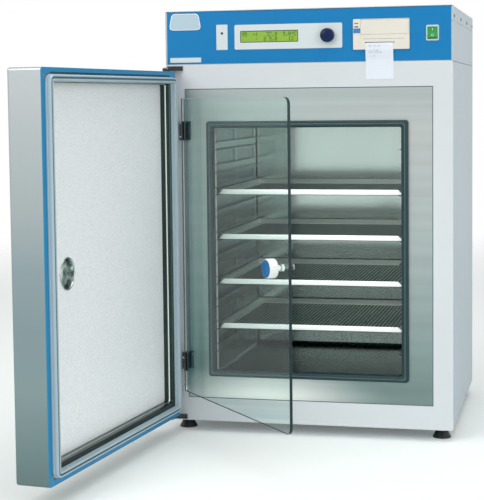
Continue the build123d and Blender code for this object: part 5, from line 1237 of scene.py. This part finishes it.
@dataclass
class GlassDoor:
    """Glass inner door with its clamps, chrome bosses and turning latch."""

    x: Pair = (49.0, 514.6)
    y: Pair = (-18.0, -12.0)
    z: Pair = (90.8, 708.5)
    corner: float = 14.0
    eased_edge: float = 0.8
    latch: Pair = (477.0, 396.0)
    hole: float = 4.22
    knob_radius: float = 18.1
    cap_radius: float = 16.5
    knob_back: float = 27.5
    knob_front: float = 45.5
    tongue: Pair = (9.5, 12.5)
    boss_heights: tuple[float, ...] = (137.0, 163.0, 628.0, 657.0)
    boss_middle: Pair = (51.0, -21.9)
    boss_half: Triple = (5.4, 3.4, 2.2)

    def build(self) -> None:
        """Build the pane and what it carries."""
        dress(BLACK_PLASTIC, "glass_clamps")
        dress(CHROME, "latch_bush")
        self.pane()
        self.bosses()
        self.knob()
        self.spindle()

    def outline(self, inset: float, steps: int = 10) -> np.ndarray:
        """Outline of the pane, with round corners on its free side only.

        Args:
            inset: Distance that the outline is drawn in.
            steps: Points on each corner.

        Returns:
            Rows of x and z.
        """
        x_low, x_high = self.x[0] + inset, self.x[1] - inset
        z_low, z_high = self.z[0] + inset, self.z[1] - inset
        radius = self.corner - inset
        turn = np.linspace(0, pi / 2, steps)
        s, c = radius * np.sin(turn), radius * np.cos(turn)
        upper = np.stack((x_high - radius + s, z_high - radius + c), axis=1)
        lower = np.stack((x_high - radius + c, z_low + radius - s), axis=1)
        return np.concatenate((((x_low, z_high),), upper, lower, ((x_low, z_low),)))

    def pane(self) -> None:
        """Pane with eased edges: two clear faces, a dark edge with a painted highlight on its top, and the
        latch hole.

        The faces are fans from the hole's ring to the outline, with as many points on both.
        """
        shape = Shape()
        ease = self.eased_edge
        rim = self.outline(0.0)
        inner = self.outline(ease)
        count = len(rim)
        middle = np.array(self.latch)
        arms = inner - middle
        angles = np.arctan2(arms[:, 1], arms[:, 0])
        ring = middle + self.hole * np.stack((np.cos(angles), np.sin(angles)), axis=1)
        front, back = self.y
        surfaces = (
            ((ring, front), (inner, front)), ((inner, back), (ring, back)), ((ring, back), (ring, front)),
        )
        for rows in surfaces:
            shape.grid(np.stack([upright(flat, y) for flat, y in rows]), False, True)
        rows = ((inner, front), (rim, front + ease), (rim, back - ease), (inner, back))
        first = len(shape.marks)
        shape.grid(np.stack([upright(flat, y) for flat, y in rows]), False, True, 1)
        marks = np.array(shape.marks[first:]).reshape(3, count)
        # The top edge takes the painted highlight.
        marks[:, 0] = 2
        shape.marks[first:] = marks.ravel().tolist()
        finishes = (CLEAR_GLASS, GLASS_EDGE, GLASS_HIGHLIGHT_TOP)
        shape.swung(GLASS_SWING).piece("glass_sheet", finishes, "glass_door", "glass_clear", ("glass_pane",))

    def bosses(self) -> None:
        """Chrome bosses on the clamps: half of a flat ellipsoid, drawn out to a point at both ends."""
        shape = Shape()
        along = np.linspace(-1, 1, 25)
        round_it = np.linspace(0, pi, 13)
        width = np.sqrt(np.clip(1 - along ** 2, 0, 1))[:, None] ** 1.3
        half_x, half_y, half_z = self.boss_half
        for height in self.boss_heights:
            x = self.boss_middle[0] + half_x * along[:, None]
            z = height + half_z * width * np.cos(round_it)
            y = self.boss_middle[1] - half_y * width * np.sin(round_it)
            shape.grid(np.stack(np.broadcast_arrays(x, y, z), axis=-1))
        shape.swung(GLASS_SWING).piece("clamp_bosses", (CHROME,), "glass_door", "zinc")

    def knob(self) -> None:
        """Latch knob with broad ribs, and the domed coloured cap in its face."""
        x, z = self.latch
        r = self.knob_radius
        back, front = self.knob_back, self.knob_front
        c = self.cap_radius
        outline = [
            (3.1, back), (r - 1.6, back), (r - 0.5, back + 0.5), (r, back + 1.6), (r, front - 2.6),
            (r - 0.4, front - 1.0), (r - 1.1, front), (c + 0.05, front), (c + 0.05, front - 1.1),
        ]
        shape = Shape().turned((x, 0.0, z), outline, Facing.FRONT, 144, 18, 0.9)
        shape.swung(GLASS_SWING).piece(
            "latch_knob_ribbed", (WHITE_PLASTIC,), "latch", "white_plastic", ("latch_knob",)
        )
        face = [
            (c, front - 1.2), (c, front - 0.1), (c - 0.3, front + 0.4), (c - 1.2, front + 0.8),
            (10.6, front + 0.8), (9.8, front + 0.5), (3.0, front + 0.3), (1.0, front + 0.3),
        ]
        cap = Shape().turned((x, 0.0, z), face, Facing.FRONT, 64)
        cap.swung(GLASS_SWING).piece(
            "latch_cap_domed", (CAP_PLASTIC,), "latch", "blue_plastic", ("latch_cap",)
        )

    def spindle(self) -> None:
        """Spindle with its grooves, and the tongue with rounded ends at its inner end."""
        x, z = self.latch
        end = self.tongue[1] + 1.0
        outline = [(2.6, 39.4), (3.0, 39.0), (3.0, 27.0), (3.0, 0.8 - end), (2.4, -end)]
        shape = Shape().turned((x, 0.0, z), outline, Facing.FRONT, 32)
        turn = np.linspace(-pi / 2, pi / 2, 12)
        hub = np.stack((x + 6 * np.cos(turn), z + 6 * np.sin(turn)), axis=1)
        reach = ((27.5, 5.0), (29.0, 4.0), (29.5, 2.6), (29.5, -2.6), (29.0, -4.0), (27.5, -5.0))
        tip = np.array([(x - out, z + side) for out, side in reach])
        shape.prism(np.concatenate((hub, tip)), self.tongue, 0.4)
        shape.swung(GLASS_SWING).piece(
            "latch_spindle_turned", (TURNED_STEEL,), "latch", "steel", ("latch_spindle",)
        )


@dataclass
class ControlPanel:
    """Blue fascia with the display, encoder, status lamp, printer and power switch."""

    screen_x: Pair = (161.5, 283.8)
    screen_z: Pair = (822.0, 846.4)
    encoder: Pair = (345.4, 833.8)
    lamp: Pair = (122.45, 842.2)
    badge_x: Pair = (8.0, 78.0)
    badge_z: Pair = (850.0, 884.6)
    badge_slant: float = 6.0
    badge_corner: float = 9.0
    printer_x: Pair = (398.0, 513.0)
    printer_z: Pair = (803.0, 865.0)
    paper_x: Pair = (423.5, 480.0)
    paper_sheet: float = 0.12
    tear: float = 0.35
    crown: float = 0.22
    crown_z: Pair = (758.0, 812.0)
    crown_runs: Pair = (40.0, 12.0)
    roll: Pair = (27.5, 836.0)
    roll_radii: Pair = (17.0, 12.0)
    roll_turns: int = 5
    switch: Pair = (559.0, 834.55)
    rocker_dip: float = 1.5
    rocker_reach: float = 10.3
    rocker_proud: float = 3.6

    def build(self) -> None:
        """Dress the carried nodes and build the finer pieces."""
        dress(BLUE_COAT, "fascia")
        dress(PALE_FILM, "control_plates")
        dress(BEIGE_PLASTIC, "printer_housing", "printer_cover")
        dress(TAB_PLASTIC, "feed_button")
        dress(BEZEL_PLASTIC, "switch_bezel")
        dress(ROCKER_PLASTIC, "power_rocker")
        dress(ZINC, "encoder_body")
        dress(CIRCUIT, "controller_board")
        dress(CAST_ALLOY, "power_supply")
        dress(SCREEN_GLASS, "screen_module")
        self.screen()
        self.badge()
        self.lamp_dome()
        self.encoder_knob()
        self.paper()
        self.printer_marks()
        self.rocker_marks()

    def screen(self) -> None:
        """Dark surround of the screen and the figures it shows."""
        frame_profile = [(0.0, -0.15), (0.0, -0.45), (-1.5, -0.45), (-1.5, -0.15)]
        shape = Shape().banded(self.screen_x, self.screen_z, 0.8, frame_profile, 4)
        shape.piece("screen_surround", (SCREEN_FRAME,), "cabinet", "screen")
        lines = ["95  -:   37.0  5.0dC", "     -  8 5.0    12 "]
        left_top = (self.screen_x[0] + 4.0, self.screen_z[1] - 3.4)
        figures = dot_shape(lines, left_top, (0.96, 1.16), 9.7, -0.02, 0.06, 0.98)
        figures.piece("screen_figures", (SCREEN_INK,), "cabinet", "screen", merge=False)

    def badge(self) -> None:
        """Bare badge: a face with corners rounded by quadratic curves, inside a narrow raised rim."""
        x0, x1 = self.badge_x
        z0, z1 = self.badge_z
        corners = np.array(((x0, z0), (x1, z0), (x1 - self.badge_slant, z1), (x0 + self.badge_slant, z1)))
        middle = corners.mean(axis=0)
        path = []
        radius = self.badge_corner
        for index in range(4):
            here, before, after = corners[index], corners[index - 1], corners[(index + 1) % 4]
            start = here + (before - here) / np.linalg.norm(before - here) * radius
            end = here + (after - here) / np.linalg.norm(after - here) * radius
            t = np.linspace(0, 1, 9)[:, None]
            path.append((1 - t) ** 2 * start + 2 * t * (1 - t) * here + t ** 2 * end)
        line = np.concatenate(path)
        rows = []
        for share, y in ((0.995, -1.0), (0.99, -1.35), (0.955, -1.35), (0.95, -1.0)):
            rows.append(upright(middle + (line - middle) * (share, share - 0.03), y))
        shape = Shape().grid(np.stack(rows), True, True)
        shape.piece("badge_rim", (RIM_FILM,), "cabinet", "pale_plate")
        inner = middle + (line - middle) * (0.948, 0.9)
        face = Shape().prism(inner, (-1.12, -0.9), 0.05)
        face.piece("badge_face", (BADGE_FILM,), "cabinet", "pale_plate")

    def lamp_dome(self) -> None:
        """Domed lens of the status lamp with its flange behind the fascia."""
        arc = [(2.5 * cos(a), 0.6 + 2.3 * sin(a)) for a in np.linspace(0, pi / 2 - 0.08, 9)]
        outline = [(3.5, -8.0), (3.5, -2.0), (2.5, -2.0)] + arc
        shape = Shape().turned((self.lamp[0], 0.0, self.lamp[1]), outline, Facing.FRONT, 36)
        shape.piece("status_lamp_lens", (LAMP_LENS,), "cabinet", "lamp", ("status_lamp",))

    def encoder_knob(self) -> None:
        """Encoder knob: fluted skirt, round shoulder and a shallow dish in its face."""
        shoulder = [(9.0 + 5.6 * cos(a), 10.2 + 5.2 * sin(a)) for a in np.linspace(0, pi / 2.15, 10)]
        outline = [(3.0, -15.0), (3.0, 1.6), (13.8, 1.4), (14.6, 1.7), (14.65, 4.0)]
        outline += shoulder + [(5.5, 16.0), (1.2, 16.2)]
        shape = Shape().turned((self.encoder[0], 0.0, self.encoder[1]), outline, Facing.FRONT, 144, 18, 0.55)
        shape.piece("encoder_knob_fluted", (NAVY_PLASTIC,), "encoder", "navy_plastic", ("encoder_knob",))

    def paper(self) -> None:
        """Paper: a wound roll, and a strip that curls out of the slot and hangs to a torn end.

        The strip follows a route of depths and heights through the slot, over its lip and down
        the front, and a slight crown across its width keeps it from looking like a plate.
        """
        x = np.linspace(*self.paper_x, 17)
        route = np.array((
            (16.0, 815.8), (2.5, 817.0), (-3.4, 817.0), (-4.25, 816.2), (-4.42, 813.5), (-4.4, 806.0),
            (-4.36, 800.5), (-3.2, 794.0), (-1.3, 784.0), (-0.5, 774.0), (-0.26, 765.0), (-0.2, 758.0),
            (-0.2, 743.0),
        ))
        knots = np.concatenate(((0.0,), np.cumsum(np.linalg.norm(np.diff(route, axis=0), axis=1))))
        t = np.linspace(0, knots[-1], 72)
        y, z = np.interp(t, knots, route[:, 0]), np.interp(t, knots, route[:, 1])
        low, high = self.crown_z
        grow, fade = self.crown_runs
        along = np.clip((high - z) / grow, 0, 1) * np.clip((z - low) / fade, 0, 1)
        crown = -self.crown * np.sin(pi * (x - x[0]) / (x[-1] - x[0]))[None, :] * along[:, None]
        torn = np.zeros((len(t), len(x)))
        torn[-1] = self.tear * np.cos(np.arange(len(x)) * 2.1)
        outside = np.stack(np.broadcast_arrays(x[None, :], y[:, None] + crown, z[:, None] + torn), axis=-1)
        inside = outside + np.array((0.0, self.paper_sheet, 0.0))
        loop = np.concatenate((outside, inside[:, ::-1]), axis=1)
        shape = Shape().grid(loop, False, True, 0, (True, True))
        turns = np.linspace(0, 2 * pi * self.roll_turns, 260)
        spoke = np.stack((np.cos(turns), np.sin(turns)), axis=1)
        largest, smallest = self.roll_radii
        radius = (largest - (largest - smallest) * turns / turns[-1])[:, None]
        spiral, core = (np.array(self.roll) + (radius - under) * spoke for under in (0.0, 0.9))
        left, right = self.paper_x
        edges = ((left, spiral), (right, spiral), (right, core), (left, core))
        rows = [np.column_stack((np.full(len(turns), x_end), flat)) for x_end, flat in edges]
        shape.grid(np.stack(rows), True)
        shape.piece("printer_strip", (PAPER,), "cabinet", "paper", ("printer_paper",))
        lines = ["95 37.0", "", "-- 5.0 -", "12: 37.0", "", "-- 9"]
        print_rows = dot_shape(lines, (430.0, 812.0), (0.55, 0.5), 4.1, -4.62, 0.03)
        print_rows.piece("printer_strip_figures", (PAPER_INK,), "cabinet", "paper", merge=False)

    def printer_marks(self) -> None:
        """Two small dark latches, the slot's end marks and the fine seam on the printer's front."""
        shape = Shape()
        x0, z1 = self.printer_x[0], self.printer_z[1]
        latch = [(0.0, -4.0), (-0.1, -4.3), (-0.4, -4.35)]
        end = [(0.0, -4.0), (-0.2, -4.2)]
        seam = [(0.0, -4.0), (-0.1, -4.08)]
        marks = (
            (3.0, 11.0, (z1 - 9.6, z1 - 8.0), 0.5, latch, 4),
            (3.0, 11.0, (z1 - 16.7, z1 - 14.5), 0.5, latch, 4),
            (25.0, 28.2, (816.4, 817.8), 0.4, end, 4), (82.0, 85.2, (816.4, 817.8), 0.4, end, 4),
            (20.0, 104.0, (824.4, 824.9), 0.2, seam, 3),
        )
        for left, right, z_span, corner, profile, steps in marks:
            x_span = (x0 + left, x0 + right)
            shape.banded(x_span, z_span, corner, profile, steps, closed=False, caps=(False, True))
        shape.piece("printer_front_marks", (DARK_MARK,), "cabinet", "black_plastic")

    def rocker_marks(self) -> None:
        """Line and ring on the rocker, drawn on its two sloping halves and tipped with it."""
        x, z = self.switch
        slope = self.rocker_dip / self.rocker_reach
        bar = [(0.0, 0.0), (0.0, -0.12), (-0.1, -0.14)]
        ring = [(2.6, 0.0), (2.6, 0.12), (1.7, 0.12), (1.7, 0.0)]
        shape = Shape().banded((x - 0.75, x + 0.75), (z + 3.4, z + 8.0), 0.3, bar, 3, 0, False, (False, True))
        shape.turned((x, 0.0, z - 5.6), ring, Facing.FRONT, 36, closed=True)
        points = np.concatenate(shape.points)
        points[:, 1] += self.rocker_dip - self.rocker_proud - np.abs(points[:, 2] - z) * slope
        shape.points = [points]
        shape.tilted((4.0, z), 8.0)
        shape.piece("rocker_marks", (MARK_PLASTIC,), "switch_rocker", "white_plastic", merge=False)


@dataclass
class Services:
    """Gas and mains inlets on the back."""

    gas: Pair = (95.0, 823.0)

    def build(self) -> None:
        """Dress the mains inlet and build the hose barb."""
        dress(BLACK_PLASTIC, "mains_inlet")
        inside = [
            (1.8, 513.5), (5.0, 513.5), (5.0, 515.5), (9.0, 515.5), (9.0, 523.5), (5.0, 523.5), (5.0, 525.0),
        ]
        barbs = [
            (8.4, 525.0), (9.0, 525.6), (9.0, 529.4), (8.4, 530.0), (4.0, 530.0), (4.0, 534.0), (5.0, 534.0),
            (3.8, 538.8), (5.0, 539.0), (3.2, 544.6), (1.8, 545.0),
        ]
        middle = (self.gas[0], 0.0, self.gas[1])
        shape = Shape().turned(middle, inside + barbs, Facing.BACK, 48, closed=True)
        shape.piece("gas_barb_turned", (BRASS,), "cabinet", "brass", ("gas_inlet",))


@dataclass
class Studio:
    """Camera, soft lights, pale floor and white surroundings, in metres, degrees and watts."""

    lens: float = 105.861
    shift_y: float = -0.10
    place: Triple = (0.55063, -3.15163, 0.70613)
    yaw: float = -13.418
    pitch: float = -4.132
    roll: float = -0.620
    surround: float = 0.55
    floor_lift: float = 0.12
    floor_reach: float = 9.0
    floor_fade: Pair = (1.6, 4.5)
    lamps: tuple[tuple[str, Triple, Triple, float, float], ...] = (
        ("key", (-2.6, -4.2, 2.9), (0.0, 0.0, 0.45), 2.6, 84.0),
        ("fill", (3.4, -3.2, 1.6), (0.1, 0.0, 0.4), 2.2, 48.0),
        ("top", (0.2, -0.6, 3.4), (0.0, 0.0, 0.3), 2.4, 42.0),
    )

    def build(self) -> None:
        """Set up the view, the world, the lamps and the floor."""
        self.camera()
        self.world()
        for lamp in self.lamps:
            self.lamp(*lamp)
        self.floor()
        bpy.context.scene.view_settings.view_transform = "Standard"

    def camera(self) -> None:
        """Camera at the photograph's place: its axes are the view line, its right and its up."""
        a, b, c = radians(self.yaw), radians(self.pitch), radians(self.roll)
        ahead = Vector((sin(a) * cos(b), cos(a) * cos(b), sin(b)))
        right = Vector((cos(a), -sin(a), 0.0))
        up = right.cross(ahead)
        side = right * cos(c) + up * sin(c)
        top = up * cos(c) - right * sin(c)
        data = bpy.data.cameras.new("photo_view")
        data.sensor_fit = "HORIZONTAL"
        data.sensor_width = 36.0
        data.lens = self.lens
        data.shift_y = self.shift_y
        data.clip_end = 60.0
        thing = bpy.data.objects.new("photo_view", data)
        axes = Matrix((side, top, -ahead)).transposed().to_4x4()
        thing.matrix_world = Matrix.Translation(self.place) @ axes
        bpy.context.scene.collection.objects.link(thing)
        bpy.context.scene.camera = thing

    def world(self) -> None:
        """White for the camera, mirrors and glass, and a plain grey level for everything else."""
        world = bpy.data.worlds.new("studio_world")
        tree = emptied(world)
        values = {"Value": self.seen(tree), "To Min": self.surround, "To Max": 1.0}
        strength = add_node(tree, "ShaderNodeMapRange", values).outputs[0]
        back = add_node(tree, "ShaderNodeBackground", {"Color": linear("#FFFFFF"), "Strength": strength})
        add_node(tree, "ShaderNodeOutputWorld", {"Surface": back.outputs[0]})
        bpy.context.scene.world = world

    def seen(self, tree: NodeTree) -> NodeSocket:
        """One where a ray comes from the camera, a mirror or glass.

        Args:
            tree: Node tree.

        Returns:
            Output socket with zero or one.
        """
        rays = add_node(tree, "ShaderNodeLightPath").outputs
        share = rays["Is Camera Ray"]
        for kind in ("Is Glossy Ray", "Is Transmission Ray"):
            either = add_node(tree, "ShaderNodeMath", {0: share, 1: rays[kind]}, operation="MAXIMUM")
            share = either.outputs[0]
        return share

    def lamp(self, name: str, place: Triple, aim: Triple, size: float, power: float) -> None:
        """Add one square softbox.

        Args:
            name: Name of the lamp.
            place: Where it stands, in metres.
            aim: Point that it faces.
            size: Side of the square, in metres.
            power: Power in watts.
        """
        data = bpy.data.lights.new(name, "AREA")
        data.shape = "SQUARE"
        data.size = size
        data.energy = power
        thing = bpy.data.objects.new(name, data)
        thing.location = place
        thing.rotation_euler = (Vector(aim) - Vector(place)).to_track_quat("-Z", "Y").to_euler()
        bpy.context.scene.collection.objects.link(thing)

    def floor(self) -> None:
        """Round floor that keeps the shadow near the object and fades into the white beyond."""
        rings = np.linspace(0.05, self.floor_reach, 24)[:, None]
        angles = np.arange(64) * 2 * pi / 64
        flat = np.stack((rings * np.cos(angles), rings * np.sin(angles)), axis=-1)
        points = level(flat.reshape(-1, 2), 0.0)
        faces = grid_faces(len(rings), len(angles), False, True).tolist() + [list(range(len(angles)))]
        mesh = bpy.data.meshes.new("studio_floor")
        mesh.from_pydata(points.tolist(), [], faces)
        mesh.materials.append(self.floor_material())
        thing = bpy.data.objects.new("studio_floor", mesh)
        bpy.context.scene.collection.objects.link(thing)

    def floor_material(self) -> Material:
        """Pale matt floor, lifted to white for the camera where no shadow lies on it."""
        material = bpy.data.materials.new("pale_studio_floor")
        tree = emptied(material)
        values = {0: self.seen(tree), 1: self.floor_lift}
        lift = add_node(tree, "ShaderNodeMath", values, operation="MULTIPLY")
        matt = add_node(tree, "ShaderNodeBsdfDiffuse", {"Color": linear("#EDF2F0")})
        glow = add_node(tree, "ShaderNodeEmission", {"Color": linear("#FFFFFF"), "Strength": lift.outputs[0]})
        both = add_node(tree, "ShaderNodeAddShader", {0: matt.outputs[0], 1: glow.outputs[0]})
        place = add_node(tree, "ShaderNodeTexCoord").outputs["Object"]
        reach = add_node(tree, "ShaderNodeVectorMath", {0: place}, operation="LENGTH")
        near, far = self.floor_fade
        values = {"Value": reach.outputs["Value"], "From Min": near, "From Max": far}
        fade = add_node(tree, "ShaderNodeMapRange", values, interpolation_type="SMOOTHSTEP")
        clear = add_node(tree, "ShaderNodeBsdfTransparent")
        values = {0: fade.outputs[0], 1: both.outputs[0], 2: clear.outputs[0]}
        mix = add_node(tree, "ShaderNodeMixShader", values)
        add_node(tree, "ShaderNodeOutputMaterial", {"Surface": mix.outputs[0]})
        return material


def main() -> None:
    """Build the sub-assemblies in order."""
    logging.basicConfig(level=logging.INFO, format="%(name)s: %(message)s")
    for assembly in (Studio(), Casing(), Chamber(), OuterDoor(), GlassDoor(), ControlPanel(), Services()):
        LOG.info("building %s", type(assembly).__name__)
        assembly.build()


if __name__ == "__main__":
    main()
